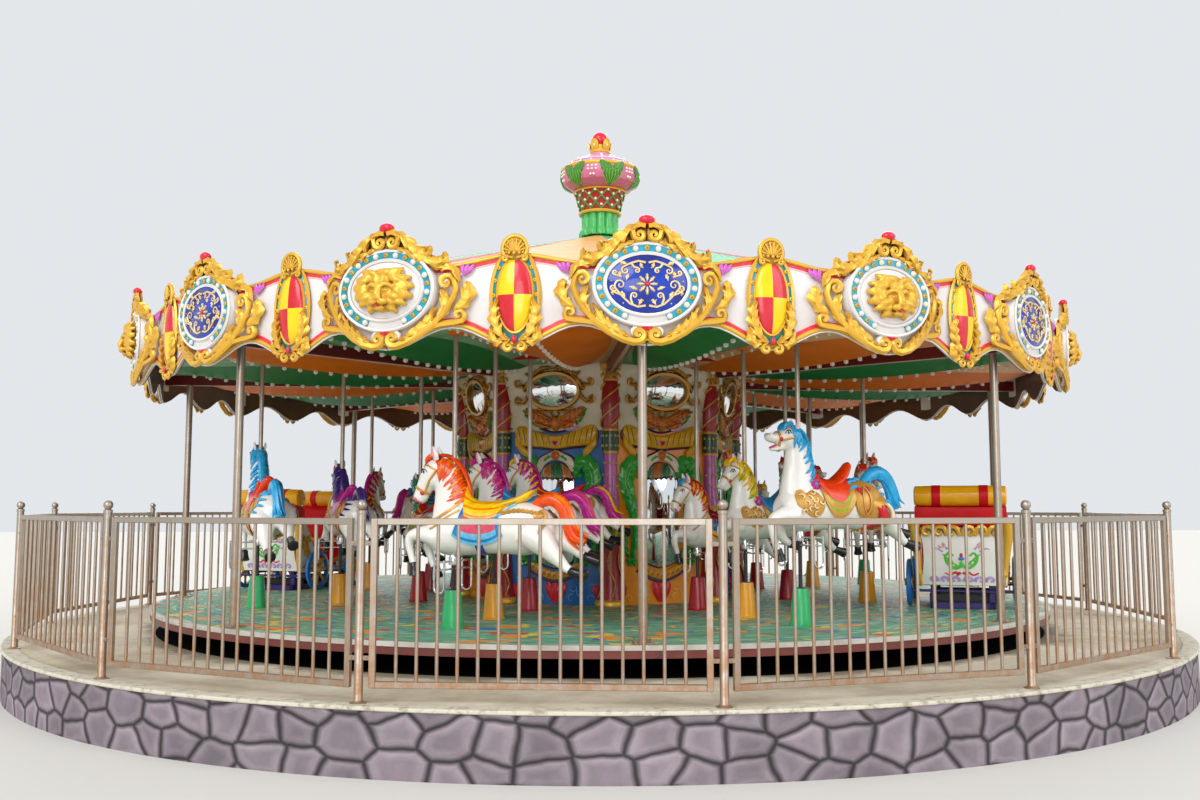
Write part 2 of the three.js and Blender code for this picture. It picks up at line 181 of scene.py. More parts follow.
def ring_of(profile, material, segments=48):
    """A ring turned about Z, whose profile is a closed loop that doesn't touch the axis."""
    turns = [2 * math.pi * i / segments for i in range(segments)]
    vertices = [(radius * math.sin(t), -radius * math.cos(t), height) for radius, height in profile for t in turns]
    return np.array(vertices, float), grid_faces(len(profile), segments, looped=True), material


def placed(shape, angle=0.0, radius=0.0, height=0.0):
    """A shape drawn at the front, moved outwards and up, then turned about the carousel's axis."""
    vertices, faces, material = shape
    cos, sin = math.cos(angle), math.sin(angle)
    turn = np.array([[cos, sin, 0], [-sin, cos, 0], [0, 0, 1]])
    return (vertices + (0, -radius, height)) @ turn, faces, material


def joined(name, shapes):
    """One bare mesh from the vertices and faces of shapes."""
    faces, count = [], 0
    for points, loops, _ in shapes:
        faces += [tuple(corner + count for corner in loop) for loop in loops]
        count += len(points)
    mesh = bpy.data.meshes.new(name)
    mesh.from_pydata(np.concatenate([points for points, *_ in shapes]).tolist(), [], faces)
    return mesh


def spread(shapes, angle, radius=0.0, height=0.0):
    """A list of shapes, each placed."""
    return [placed(shape, angle, radius, height) for shape in shapes]


def piece(name, shapes, body, replaces=(), crease=38):
    """One mesh from shapes, which rides on a CAD body. A shape is its vertices, its faces and its
    material, or a list with a material for each face."""
    finish = [m for _, faces, finish in shapes for m in (finish if isinstance(finish, list) else [finish] * len(faces))]
    materials = list(dict.fromkeys(finish))
    mesh = joined(name, shapes)
    for material in materials:
        mesh.materials.append(material)
    mesh.polygons.foreach_set("material_index", [materials.index(m) for m in finish])
    mesh.polygons.foreach_set("use_smooth", [True] * len(finish))
    skin = bmesh.new()
    skin.from_mesh(mesh)
    bmesh.ops.recalc_face_normals(skin, faces=skin.faces)
    skin.to_mesh(mesh)
    skin.free()
    mesh.set_sharp_from_angle(angle=math.radians(crease))
    made = bpy.data.objects.new(name, mesh)
    bpy.context.scene.collection.objects.link(made)
    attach(made, body)
    if replaces:
        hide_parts(*replaces)


# Rendered wall: masonry paint, dry and matt, with sprayed shading round every stone.
stone_paint, shader, place = painted("painted_render_stones", "#8b7a86", 0.85)
split = add_node(stone_paint, "SeparateXYZ", {0: place}).outputs
turn = add_node(stone_paint, "Math", {0: split["Y"], 1: split["X"]}, operation="ARCTAN2")
along = add_node(stone_paint, "Math", {0: turn, 1: PLINTH_RADIUS}, operation="MULTIPLY")
wall = add_node(stone_paint, "CombineXYZ", {"X": along, "Y": split["Z"]}).outputs[0]
wander = add_node(stone_paint, "TexNoise", {"Vector": wall, "Scale": 5.0, "Detail": 1.5})
bent = add_node(stone_paint, "Mix", {0: 0.05, 4: wall, 5: wander.outputs["Color"]}, data_type="VECTOR")
wide = add_node(stone_paint, "VectorMath", {0: bent.outputs[1], 1: (0.8, 1.2, 1.0)}, operation="MULTIPLY")
stones = {"Vector": wide, "Scale": 1 / STONE_SIZE, "Randomness": 0.8}
cell = add_node(stone_paint, "TexVoronoi", stones, voronoi_dimensions="2D")
joint = add_node(stone_paint, "TexVoronoi", stones, voronoi_dimensions="2D", feature="DISTANCE_TO_EDGE")
shade = add_node(stone_paint, "ValToRGB", {0: joint.outputs["Distance"]})
for stop, share, tint in zip(shade.color_ramp.elements, (0.2, 1.3), ("#383236", "#9c8f97")):
    stop.position, stop.color = share * JOINT_WIDTH / STONE_SIZE, linear(tint)
shade.color_ramp.elements.new(0.34).color = linear("#857982")
tone = add_node(stone_paint, "SeparateColor", {0: cell.outputs["Color"]}).outputs[0]
hue = add_node(stone_paint, "MapRange", {"Value": tone, "To Min": 0.78, "To Max": 1.12})
varied = add_node(stone_paint, "VectorMath", {0: shade, "Scale": hue}, operation="SCALE")
dirt = add_node(stone_paint, "TexNoise", {"Vector": place, "Scale": 3.5, "Detail": 8.0, "Roughness": 0.65})
grime = add_node(stone_paint, "MapRange", {"Value": dirt, "From Min": 0.35, "From Max": 0.75,
    "To Min": 0.72, "To Max": 1.1})
worn = add_node(stone_paint, "VectorMath", {0: varied, "Scale": grime}, operation="SCALE")
feed(shader, {"Base Color": worn})
swell = add_node(stone_paint, "MapRange", {"Value": joint.outputs["Distance"], "From Max": 0.22},
    interpolation_type="SMOOTHSTEP")
grit = add_node(stone_paint, "TexNoise", {"Vector": place, "Scale": 160.0, "Detail": 4.0})
rough = add_node(stone_paint, "Math", {0: grit, 1: 0.08, 2: swell}, operation="MULTIPLY_ADD")
bump = add_node(stone_paint, "Bump", {"Height": rough, "Distance": 0.02, "Strength": 0.8})
feed(shader, {"Normal": bump})

# Cast concrete: trowelled flat, cream, with brown water stains and fine sand in it, and a ragged dark brown band round
# the platform's edge that is partly damp and partly its painted shadow.
concrete, shader, place = painted("trowelled_concrete", "#b9ad98", 0.9)
stain = add_node(concrete, "TexNoise", {"Vector": place, "Scale": 0.9, "Detail": 9.0, "Roughness": 0.68})
shade = add_node(concrete, "ValToRGB", {0: stain})
for stop, at, tint in zip(shade.color_ramp.elements, (0.34, 0.62), ("#ab9b80", "#e2d8c2")):
    stop.position, stop.color = at, linear(tint)
flat = add_node(concrete, "VectorMath", {0: place, 1: (1.0, 1.0, 0.0)}, operation="MULTIPLY")
reach = add_node(concrete, "VectorMath", {0: flat}, operation="LENGTH").outputs["Value"]
# painted shadow, with damp: darker brown in a ragged band just outside the platform's edge
ragged = add_node(concrete, "Math", {0: stain, 1: 0.9, 2: reach}, operation="MULTIPLY_ADD")
damp_and_shadow_share = add_node(concrete, "MapRange", {"Value": ragged, "From Min": 5.12, "From Max": 4.98, "To Max": 0.75})
damp_and_shadow_tone = add_node(concrete, "Mix", {0: damp_and_shadow_share, 6: shade, 7: linear("#77674f")}, data_type="RGBA")
feed(shader, {"Base Color": damp_and_shadow_tone.outputs[2]})
sand = add_node(concrete, "TexNoise", {"Vector": place, "Scale": 220.0, "Detail": 3.0})
bump = add_node(concrete, "Bump", {"Height": sand, "Distance": 0.002, "Strength": 0.6})
feed(shader, {"Normal": bump})

lip_paint, shader, place = painted("pale_masonry_paint", "#c9c3b0", 0.8)
chips = add_node(lip_paint, "TexNoise", {"Vector": place, "Scale": 14.0, "Detail": 8.0, "Roughness": 0.7})
shade = add_node(lip_paint, "ValToRGB", {0: chips})
for stop, at, tint in zip(shade.color_ramp.elements, (0.36, 0.5), ("#a09480", "#cfc9b6")):
    stop.position, stop.color = at, linear(tint)
feed(shader, {"Base Color": shade})

# Painted shadow: the slab under the platform is painted dead black, as the deep shade that lies there.
shadow_black_paint, shader, place = painted("painted_shadow_black", "#070606", 0.9, Specular_IOR_Level=0.05)
brushed = add_node(shadow_black_paint, "TexNoise", {"Vector": place, "Scale": 12.0, "Detail": 4.0})
shadow_black_tone = add_node(shadow_black_paint, "Mix", {0: brushed, 6: linear("#050505"), 7: linear("#0e0c0b")}, data_type="RGBA")
feed(shader, {"Base Color": shadow_black_tone.outputs[2]})

wall_top = PLINTH_HEIGHT - LIP_HEIGHT
lip_radius = PLINTH_RADIUS + PLINTH_LIP
wall_profile = [(PLINTH_RADIUS, 0.0), (PLINTH_RADIUS, wall_top)]
lip_profile = [
    (PLINTH_RADIUS - LIP_DEPTH, wall_top - 0.005), (lip_radius - 0.006, wall_top), (lip_radius, wall_top + 0.006),
    (lip_radius, PLINTH_HEIGHT - 0.008), (lip_radius - 0.008, PLINTH_HEIGHT),
    (PLINTH_RADIUS - LIP_DEPTH, PLINTH_HEIGHT)]
top_radius = PLINTH_RADIUS - 0.115  # just under the lip's inner edge
top_profile = [(WELL_RADIUS, wall_top), (top_radius, wall_top), (top_radius, PLINTH_HEIGHT),
    (WELL_RADIUS, PLINTH_HEIGHT)]
piece("plinth_wall_and_top", [
    turned(wall_profile, stone_paint, 192),
    ring_of(lip_profile, lip_paint, 192),
    ring_of(top_profile, concrete, 96),
    # painted shadow: a black disc on the slab under the platform
    turned([(WELL_RADIUS, wall_top), (WELL_RADIUS, PLINTH_HEIGHT)], shadow_black_paint, 96),
], "base", ["plinth"])

# The bearing's base: welded steel plate in thick black oil-stained paint.
oily_paint, shader, place = painted("oily_black_paint", "#1c1a19", 0.45)
film = add_node(oily_paint, "TexNoise", {"Vector": place, "Scale": 9.0, "Detail": 6.0})
shade = add_node(oily_paint, "MapRange", {"Value": film, "To Min": 0.25, "To Max": 0.7})
feed(shader, {"Roughness": shade})
centre_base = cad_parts["centre_base"]
centre_base.data.materials.clear()
centre_base.data.materials.append(oily_paint)

# The fence: posts and welded panels of satin stainless tube, gone tan with thin rust low down.
# Each panel hangs on two small brackets a side, and the far bay is left open as the way in.
FENCE_RADIUS = 5.615
FENCE_BAYS = 16
FENCE_TURN = math.radians(3.6)
OPEN_BAY = 7
POST_RADIUS = 0.027
POST_HEIGHT = 1.16
POST_BALL = 0.033
PANEL_FOOT = 0.09
PANEL_HEAD = 1.105
PANEL_TUBE = 0.04
PANEL_DEPTH = 0.03
BRACKET_INSET = 0.165
BAR_RADIUS = 0.011
BARS = 15
PANEL_TO_POST = 0.062


def block(width, depth, height, x, y, z, material, edge=0.0):
    """A box on its foot at (x, y, z), with its upright and lying edges cut back by edge."""
    a, b, e = width / 2, depth / 2, edge
    layers = [(z, e), (z + e, 0), (z + height - e, 0), (z + height, e)] if e else [(z, 0), (z + height, 0)]
    vertices = []
    for level, inset in layers:
        p, q = a - inset, b - inset
        if e:
            vertices += [(x + u, y + v, level) for u, v in (
                (-p + e, -q), (p - e, -q), (p, -q + e), (p, q - e), (p - e, q), (-p + e, q), (-p, q - e), (-p, -q + e))]
        else:
            vertices += [(x - p, y - q, level), (x + p, y - q, level), (x + p, y + q, level), (x - p, y + q, level)]
    sides = len(vertices) // len(layers)
    caps = [tuple(reversed(range(sides))), tuple(range(len(vertices) - sides, len(vertices)))]
    return np.array(vertices, float), grid_faces(len(layers), sides) + caps, material


def tube(path, sizes, material, sides=8, up=(0, 1, 0)):
    """A bar along a path. Sizes are its half width across and along up, one pair or one at each point."""
    path = np.array(path, float)
    sizes = np.array(sizes, float)
    if sizes.ndim == 0:
        sizes = np.array([sizes, sizes])
    if sizes.ndim == 1:
        sizes = np.tile(sizes, (len(path), 1)) if len(sizes) == 2 else np.stack([sizes, sizes], 1)
    ahead = np.gradient(path, axis=0)
    ahead /= np.linalg.norm(ahead, axis=1)[:, None] + 1e-12
    side = np.cross(ahead, np.array(up, float))
    side /= np.linalg.norm(side, axis=1)[:, None] + 1e-12
    top = np.cross(side, ahead)
    turn = np.arange(sides) * 2 * np.pi / sides + np.pi / sides
    rings = (path[:, None] + side[:, None] * (np.cos(turn)[None, :, None] * sizes[:, 0, None, None])
             + top[:, None] * (np.sin(turn)[None, :, None] * sizes[:, 1, None, None]))
    vertices = np.concatenate([rings.reshape(-1, 3), path[:1], path[-1:]])
    start, end = len(vertices) - 2, len(vertices) - 1
    last = (len(path) - 1) * sides
    faces = grid_faces(len(path), sides)
    for i in range(sides):
        j = (i + 1) % sides
        faces += [(start, j, i), (end, last + i, last + j)]
    return vertices, faces, material


def ball(centre, radii, material, segments=10, rings=6):
    """A round or oval ball."""
    radii = (radii, radii, radii) if np.isscalar(radii) else radii
    profile = [(math.sin(math.pi * i / rings), -math.cos(math.pi * i / rings)) for i in range(rings + 1)]
    vertices, faces, _ = turned(profile, material, segments)
    return vertices * np.array(radii) + np.array(centre), faces, material


# Satin stainless: brushed tube, a soft broad glint with fine streaks, and tan tea-stain low down.
def stainless_steel(name, stain_top, stain_foot):
    """Satin stainless steel whose stains thin out between two heights."""
    steel, shader, place = painted(name, "#aca69c", 0.36, 0.8)
    height = add_node(steel, "SeparateXYZ", {0: place}).outputs["Z"]
    low = add_node(steel, "MapRange", {"Value": height, "From Min": stain_foot, "From Max": stain_top,
        "To Min": 0.85, "To Max": 0.3})
    cloud = add_node(steel, "TexNoise", {"Vector": place, "Scale": 11.0, "Detail": 8.0, "Roughness": 0.7})
    patch = add_node(steel, "MapRange", {"Value": cloud, "From Min": 0.28, "From Max": 0.6})
    rust = add_node(steel, "Math", {0: patch, 1: low}, operation="MULTIPLY")
    shade = add_node(steel, "Mix", {0: rust, 6: linear("#aca69c"), 7: linear("#a97c55")}, data_type="RGBA")
    feed(shader, {"Base Color": shade.outputs[2]})
    dull = add_node(steel, "MapRange", {"Value": rust, "To Min": 0.28, "To Max": 0.62})
    feed(shader, {"Roughness": dull})
    return steel


fence_steel = stainless_steel("satin_stainless_tube", 1.5, 0.5)
fence_step = 2 * math.pi / FENCE_BAYS
fence_apothem = FENCE_RADIUS * math.cos(fence_step / 2)
panel_half = FENCE_RADIUS * math.sin(fence_step / 2) - PANEL_TO_POST
panel_foot = PLINTH_HEIGHT + PANEL_FOOT
panel_head = PLINTH_HEIGHT + PANEL_HEAD

fence_post = [
    turned([(0.052, 0.0), (0.052, 0.006), (0.034, 0.012), (POST_RADIUS, 0.022), (POST_RADIUS, POST_HEIGHT - 0.03),
            (0.031, POST_HEIGHT - 0.028), (0.031, POST_HEIGHT - 0.008), (0.014, POST_HEIGHT)], fence_steel, 18),
    ball((0, 0, POST_HEIGHT + 0.026), POST_BALL, fence_steel, 16, 10),
]
fence_panel = []
for side in (-1, 1):
    fence_panel.append(block(PANEL_TUBE, PANEL_DEPTH, panel_head - panel_foot, side * (panel_half - PANEL_TUBE / 2), 0,
        panel_foot, fence_steel, 0.003))
for foot in (panel_foot, panel_head - PANEL_TUBE):
    fence_panel.append(block(2 * (panel_half - PANEL_TUBE) + 0.002, PANEL_DEPTH, PANEL_TUBE, 0, 0, foot,
        fence_steel, 0.003))
bar_pitch = 2 * (panel_half - PANEL_TUBE) / (BARS + 1)
for bar in range(BARS):
    x = (bar + 1 - (BARS + 1) / 2) * bar_pitch
    fence_panel.append(tube([(x, 0, panel_foot + 0.035), (x, 0, panel_head - 0.035)], BAR_RADIUS, fence_steel, 10))
bracket_heights = (panel_foot + BRACKET_INSET, panel_head - BRACKET_INSET)
for section in range(FENCE_BAYS // 2):
    shapes = []
    for bay in (2 * section, 2 * section + 1):
        angle = FENCE_TURN + bay * fence_step
        shapes += spread(fence_post, angle, FENCE_RADIUS, PLINTH_HEIGHT)
        before, after = bay - 1 != OPEN_BAY, bay != OPEN_BAY
        for z in bracket_heights:
            for side, there in ((-1, before), (1, after)):
                if there:
                    shapes.append(placed(block(0.05, 0.006, 0.028, side * 0.045, 0, z, fence_steel, 0.001),
                        angle, FENCE_RADIUS))
                    bolt = tube([(side * 0.05, -0.002, z + 0.014), (side * 0.05, -0.012, z + 0.014)], 0.007,
                        fence_steel, 6, (0, 0, 1))
                    shapes.append(placed(bolt, angle, FENCE_RADIUS))
        if after:
            shapes += spread(fence_panel, angle + fence_step / 2, fence_apothem)
    piece(f"fence_{section + 1}", shapes, "base", [f"fence_section_{section + 1}"])

# The platform: chequered steel sheet painted green, brushed over with short streaks of colour that
# follow its turning, with a tapered guide cone bolted down under each horse's rod.
FLOOR_TOP = 0.65
FLOOR_THICKNESS = 0.04
FLOOR_RADIUS = 4.48
CONE_HEIGHT = 0.3
GUIDE_BORE = 0.0205
ROW_RADII = {"outer": 3.6, "middle": 2.82, "inner": 2.025}
CONE_COLOURS = {"outer": "#27a862", "middle": "#e29a10", "inner": "#a51420"}
CHARIOT_BAYS = (3, 7)
BAY_ANGLE = math.radians(45)

deck_paint, shader, place = painted("streaked_deck_enamel", "#5b9078", 0.5)
split = add_node(deck_paint, "SeparateXYZ", {0: place}).outputs
flat = add_node(deck_paint, "VectorMath", {0: place, 1: (1.0, 1.0, 0.0)}, operation="MULTIPLY")
reach = add_node(deck_paint, "VectorMath", {0: flat}, operation="LENGTH").outputs["Value"]
turn = add_node(deck_paint, "Math", {0: split["Y"], 1: split["X"]}, operation="ARCTAN2").outputs[0]
colour = deck_paint.node_tree.nodes["Principled BSDF"].inputs["Base Color"]
worn = add_node(deck_paint, "TexNoise", {"Vector": place, "Scale": 2.2, "Detail": 8.0, "Roughness": 0.7})
layer = add_node(deck_paint, "Mix", {0: worn, 6: linear("#4a9270"), 7: linear("#7ab496")}, data_type="RGBA").outputs[2]
# Thin streaks in two greens, about 150 mm by 20 mm, lie under dabs of colour about 150 mm across.
for number, (brush, threshold, across) in enumerate((
        ("#2f7656", 0.6, 42), ("#a4cdbb", 0.61, 42), ("#2f68b4", 0.672, 7), ("#ecc83c", 0.662, 7),
        ("#cc3c34", 0.665, 7), ("#ee8c1c", 0.642, 7))):
    ringed = add_node(deck_paint, "CombineXYZ", {"X": turn, "Y": reach, "Z": 7.3 * number + 1.7})
    long = add_node(deck_paint, "VectorMath", {0: ringed, 1: (26.0, across, 1.0)}, operation="MULTIPLY")
    streak = add_node(deck_paint, "TexNoise", {"Vector": long, "Scale": 0.62, "Detail": 2.0, "Roughness": 0.4})
    mask = add_node(deck_paint, "MapRange", {"Value": streak, "From Min": threshold - 0.012,
        "From Max": threshold + 0.012})
    layer = add_node(deck_paint, "Mix", {0: mask, 6: layer, 7: linear(brush)}, data_type="RGBA").outputs[2]
deck_paint.node_tree.links.new(layer, colour)
gloss = add_node(deck_paint, "MapRange", {"Value": worn, "To Min": 0.38, "To Max": 0.62})
feed(shader, {"Roughness": gloss})


# Polyester gloss on moulded glass fibre: a clear wet shine over slight unevenness and thin dirt.
def moulded_gloss(name, colour, shade_colour=None, roughness=0.28, mottle=9.0, worn_share=0.35,
        coat=0.35, specular=0.3):
    """Gloss paint on a moulding. Shade_colour is what dirt and thin paint turn it to."""
    gloss, shader, place = painted(name, colour, roughness, Coat_Weight=coat, Coat_Roughness=0.12,
        Specular_IOR_Level=specular)
    cloud = add_node(gloss, "TexNoise", {"Vector": place, "Scale": mottle, "Detail": 6.0, "Roughness": 0.6})
    share = add_node(gloss, "MapRange", {"Value": cloud, "From Min": 0.38, "From Max": 0.72, "To Max": worn_share})
    dirty = linear(shade_colour or colour)
    if shade_colour is None:
        dirty = [c * 0.62 for c in dirty[:3]] + [1.0]
    tone = add_node(gloss, "Mix", {0: share, 6: linear(colour), 7: dirty}, data_type="RGBA")
    feed(shader, {"Base Color": tone.outputs[2]})
    orange_peel = add_node(gloss, "TexNoise", {"Vector": place, "Scale": 60.0, "Detail": 2.0})
    bump = add_node(gloss, "Bump", {"Height": orange_peel, "Distance": 0.0012, "Strength": 0.35})
    feed(shader, {"Normal": bump})
    return gloss


cone_gloss = {row: moulded_gloss(f"cone_enamel_{row}", colour) for row, colour in CONE_COLOURS.items()}
black_iron = moulded_gloss("black_stove_enamel", "#22201f", "#3a3531", 0.4)


def horse_places():
    """Row, bay, angle and radius of each horse's pole."""
    for row, radius in ROW_RADII.items():
        for bay in range(1, 9):
            if row != "outer" or bay not in CHARIOT_BAYS:
                yield row, bay, (bay - 1.5) * BAY_ANGLE, radius


floor_foot = FLOOR_TOP - FLOOR_THICKNESS
deck = [turned([(FLOOR_RADIUS, floor_foot + 0.002), (FLOOR_RADIUS, FLOOR_TOP)], deck_paint, 160),
        # painted shadow: the deck's underside in black
        turned([(FLOOR_RADIUS, floor_foot), (FLOOR_RADIUS, floor_foot + 0.001)], shadow_black_paint, 96),
        turned([(0.6, 0.516), (0.9, 0.615)], oily_paint, 32)]
for row, bay, angle, radius in horse_places():
    collar_foot = CONE_HEIGHT - 0.004
    cone = ring_of([(GUIDE_BORE, 0.004), (0.094, 0.0), (0.094, 0.012), (0.088, 0.018), (0.064, CONE_HEIGHT - 0.012),
                    (0.061, collar_foot), (GUIDE_BORE, collar_foot)], cone_gloss[row], 28)
    collar = ring_of([(GUIDE_BORE, collar_foot), (0.05, collar_foot), (0.05, CONE_HEIGHT), (GUIDE_BORE, CONE_HEIGHT)],
        black_iron, 20)
    deck += spread([cone, collar], angle, radius, FLOOR_TOP)
piece("deck_and_cones", deck, "turntable", ["floor_deck"])

# The platform's edge: folded sheet with a white trim on top and a red-brown band below it.
EDGE_RADIUS = 4.52
EDGE_DROP = 0.09
TRIM_HEIGHT = 0.034
edge_white = moulded_gloss("white_trim_enamel", "#cfcac0", "#8f8577", 0.45, 5.0, 0.6)
edge_brown = moulded_gloss("red_brown_edge_enamel", "#7a3a33", "#4e2a26", 0.5, 6.0, 0.6)
edge_inner = FLOOR_RADIUS + 0.0003
band_outer = EDGE_RADIUS - 0.008
trim_foot, band_foot, band_top = FLOOR_TOP - TRIM_HEIGHT, FLOOR_TOP - EDGE_DROP, FLOOR_TOP - 0.0345
piece("edge_trim", [
    ring_of([(edge_inner, trim_foot), (EDGE_RADIUS, trim_foot), (EDGE_RADIUS, FLOOR_TOP - 0.004),
        (EDGE_RADIUS - 0.005, FLOOR_TOP), (edge_inner, FLOOR_TOP)], edge_white, 160),
    ring_of([(edge_inner, band_foot), (band_outer, band_foot), (band_outer, band_top), (edge_inner, band_top)],
        edge_brown, 160),
], "turntable", ["platform_edge"])

# The columns: satin stainless tube on square bolted plates. Each carries a dark red beam of
# welded sheet, with a cream stripe along its underside, that runs in to the drum.
COLUMN_CIRCLE = 4.395
COLUMN_RADIUS = 0.033
COLUMN_PLATE = 0.15
BOLT_OFFSET = 0.056
BEAM_TOP = 2.99
BEAM_HEIGHT = 0.11
BEAM_WIDTH = 0.09
BEAM_INNER = 1.59
BEAM_OUTER = 4.648
column_steel = stainless_steel("satin_stainless_column", 2.0, 0.6)
beam_red = moulded_gloss("dark_red_beam_enamel", "#6a1517", "#3a0e10", 0.4)
stripe_cream = moulded_gloss("cream_stripe_enamel", "#b9a183", "#86735a", 0.45)
beam_length = BEAM_OUTER - BEAM_INNER
beam_middle = COLUMN_CIRCLE - (BEAM_OUTER + BEAM_INNER) / 2
column = [
    tube([(0, 0, FLOOR_TOP + 0.001), (0, 0, BEAM_TOP - BEAM_HEIGHT + 0.005)], COLUMN_RADIUS, column_steel, 28),
    block(COLUMN_PLATE, COLUMN_PLATE, 0.01, 0, 0, FLOOR_TOP + 0.0003, column_steel, 0.002),
    ring_of([(COLUMN_RADIUS - 0.002, 0.66), (COLUMN_RADIUS + 0.007, 0.66), (COLUMN_RADIUS, 0.668),
        (COLUMN_RADIUS - 0.002, 0.668)], column_steel, 28),
    block(BEAM_WIDTH, beam_length, BEAM_HEIGHT, 0, beam_middle, BEAM_TOP - BEAM_HEIGHT, beam_red, 0.004),
    block(0.034, beam_length - 0.02, 0.012, 0, beam_middle, BEAM_TOP - BEAM_HEIGHT - 0.002, stripe_cream, 0.002),
]
for x in (-BOLT_OFFSET, BOLT_OFFSET):
    for y in (-BOLT_OFFSET, BOLT_OFFSET):
        column += [tube([(x, y, 0.658), (x, y, 0.671)], 0.009, column_steel, 6),
                   tube([(x, y, 0.67), (x, y, 0.682)], 0.005, column_steel, 6)]
for bay in range(8):
    shapes = spread(column, bay * BAY_ANGLE, COLUMN_CIRCLE)
    piece(f"column_{bay + 1}", shapes, "turntable", [f"column_and_beam_{bay + 1}"])

# The centre drum: eight moulded glass-fibre panels round the drive, each with an arched mirror
# between green scroll leaves, a tulip band below, and a cream frieze with an oval mirror above.
DRUM_APOTHEM = 1.33
DRUM_FOOT = 0.651
FRIEZE_FOOT = 2.33
FRIEZE_FLARE = 0.12
DRUM_COLUMN_CIRCLE = 1.465


def smooth(rows, count):
    """Rows of numbers drawn out to count rows on one smooth curve through them."""
    rows = np.array(rows, float)
    ends = np.concatenate([2 * rows[:1] - rows[1:2], rows, 2 * rows[-1:] - rows[-2:-1]])
    t = np.linspace(0, len(rows) - 1, count)
    i = np.minimum(t.astype(int), len(rows) - 2)
    f = (t - i)[:, None]
    a, b, c, d = (ends[i + k] for k in range(4))
    return 0.5 * (2 * b + (c - a) * f + (2 * a - 5 * b + 4 * c - d) * f**2 + (3 * b - a - 3 * c + d) * f**3)


def slab(outline, front, back, material, edge=0.0):
    """A plate cut to an (x, z) outline between two depths, with its front edge eased by edge."""
    outline = np.array(outline, float)
    before, after = np.roll(outline, 1, 0), np.roll(outline, -1, 0)
    if np.sum(outline[:, 0] * after[:, 1] - after[:, 0] * outline[:, 1]) < 0:
        outline, before, after = outline[::-1], after[::-1], before[::-1]
    ahead = after - before
    ahead /= np.linalg.norm(ahead, axis=1)[:, None] + 1e-12
    inner = outline + np.stack([-ahead[:, 1], ahead[:, 0]], 1) * edge
    layers = [(outline, back), (outline, front + edge), (inner, front)] if edge else [(outline, back), (outline, front)]
    n = len(outline)
    vertices = np.concatenate([np.stack([flat[:, 0], np.full(n, y), flat[:, 1]], 1) for flat, y in layers])
    caps = [tuple(range(n - 1, -1, -1)), tuple(range(len(vertices) - n, len(vertices)))]
    return vertices, caps + grid_faces(len(layers), n), material


def oval(a, b, z, count):
    """Points (x, z) on an oval about (0, z)."""
    turns = [2 * math.pi * i / count for i in range(count)]
    return [(a * math.cos(t), z + b * math.sin(t)) for t in turns]


def on_face(points, y):
    """(x, z) points as points in space at one depth."""
    return [(x, y, z) for x, z in points]


def hoop(a, b, z, y, thick, material, count=36, sides=6):
    """A closed round moulding that follows an oval."""
    vertices = []
    for x, height in oval(a, b, z, count):
        out = np.array([b * x, 0, a * (height - z) * a / b])
        out = out / np.linalg.norm(out)
        for k in range(sides):
            t = 2 * math.pi * k / sides
            vertices.append((x, y, height) + thick * (math.cos(t) * out + math.sin(t) * np.array([0, -1, 0])))
    return np.array(vertices), grid_faces(count, sides, looped=True), material


def curl(x, z, outer, inner, start, turns, count=16):
    """(x, z) points of a scroll that winds in to (x, z). Turns below zero wind clockwise."""
    points = []
    for i in range(count):
        share = i / (count - 1)
        reach = outer + (inner - outer) * share**0.85
        t = start + 2 * math.pi * turns * share
        points.append((x + reach * math.cos(t), z + reach * math.sin(t)))
    return points


def scroll(points, y, wide, narrow, high, material, count=22, sides=5):
    """A carved scroll on a face: a half-round bar that thins from wide to narrow along its points."""
    path = smooth([(x, y, z) for x, z in points], count)
    share = np.linspace(0, 1, count)
    width = wide + (narrow - wide) * share
    return tube(path, np.stack([width, width * high], 1), material, sides, (0, -1, 0))


def grid_rim(rows, wide):
    """The points round an open grid of rows by wide points, in order."""
    size = rows * wide
    return [*range(wide), *range(2 * wide - 1, size, wide), *range(size - 2, size - wide - 1, -1),
            *range(size - 2 * wide, 0, -wide)]


def frond(rows, y, high, material, lobes=5, cut=1.0):
    """A carved acanthus leaf on a face: a grooved strip through (x, z, half width) rows whose edges
    are cut into lobes that sweep towards its tip, the less so the lower cut is."""
    steps = 3
    rows = smooth(rows, lobes * steps + 1)
    count = len(rows)
    ahead = np.gradient(rows[:, :2], axis=0)
    ahead /= np.linalg.norm(ahead, axis=1)[:, None]
    side = np.stack([ahead[:, 1], -ahead[:, 0]], 1)
    notch = 1 - cut * np.tile([0.46, 0.16, 0.0], lobes + 1)[:count]
    relief = np.tile([0.5, 0.92, 1.0], lobes + 1)[:count] * (np.arange(count) % (count - 1) > 0)
    across, crown = np.array([-1, -0.5, 0, 0.5, 1]), np.array([0, 1.0, 0.7, 1.0, 0])
    width = np.maximum(rows[:, 2], 0.002)
    flat = rows[:, None, :2] + side[:, None] * (across * (width * notch)[:, None])[..., None]
    flat = flat + ahead[:, None] * (across**2 * 0.9 * width[:, None])[..., None]
    depth = y - high * relief[:, None] * crown
    vertices = np.stack([flat[..., 0], depth, flat[..., 1]], 2).reshape(-1, 3)
    wide = len(across)
    return vertices, grid_faces(count, wide, closed=False) + [tuple(grid_rim(count, wide))], material


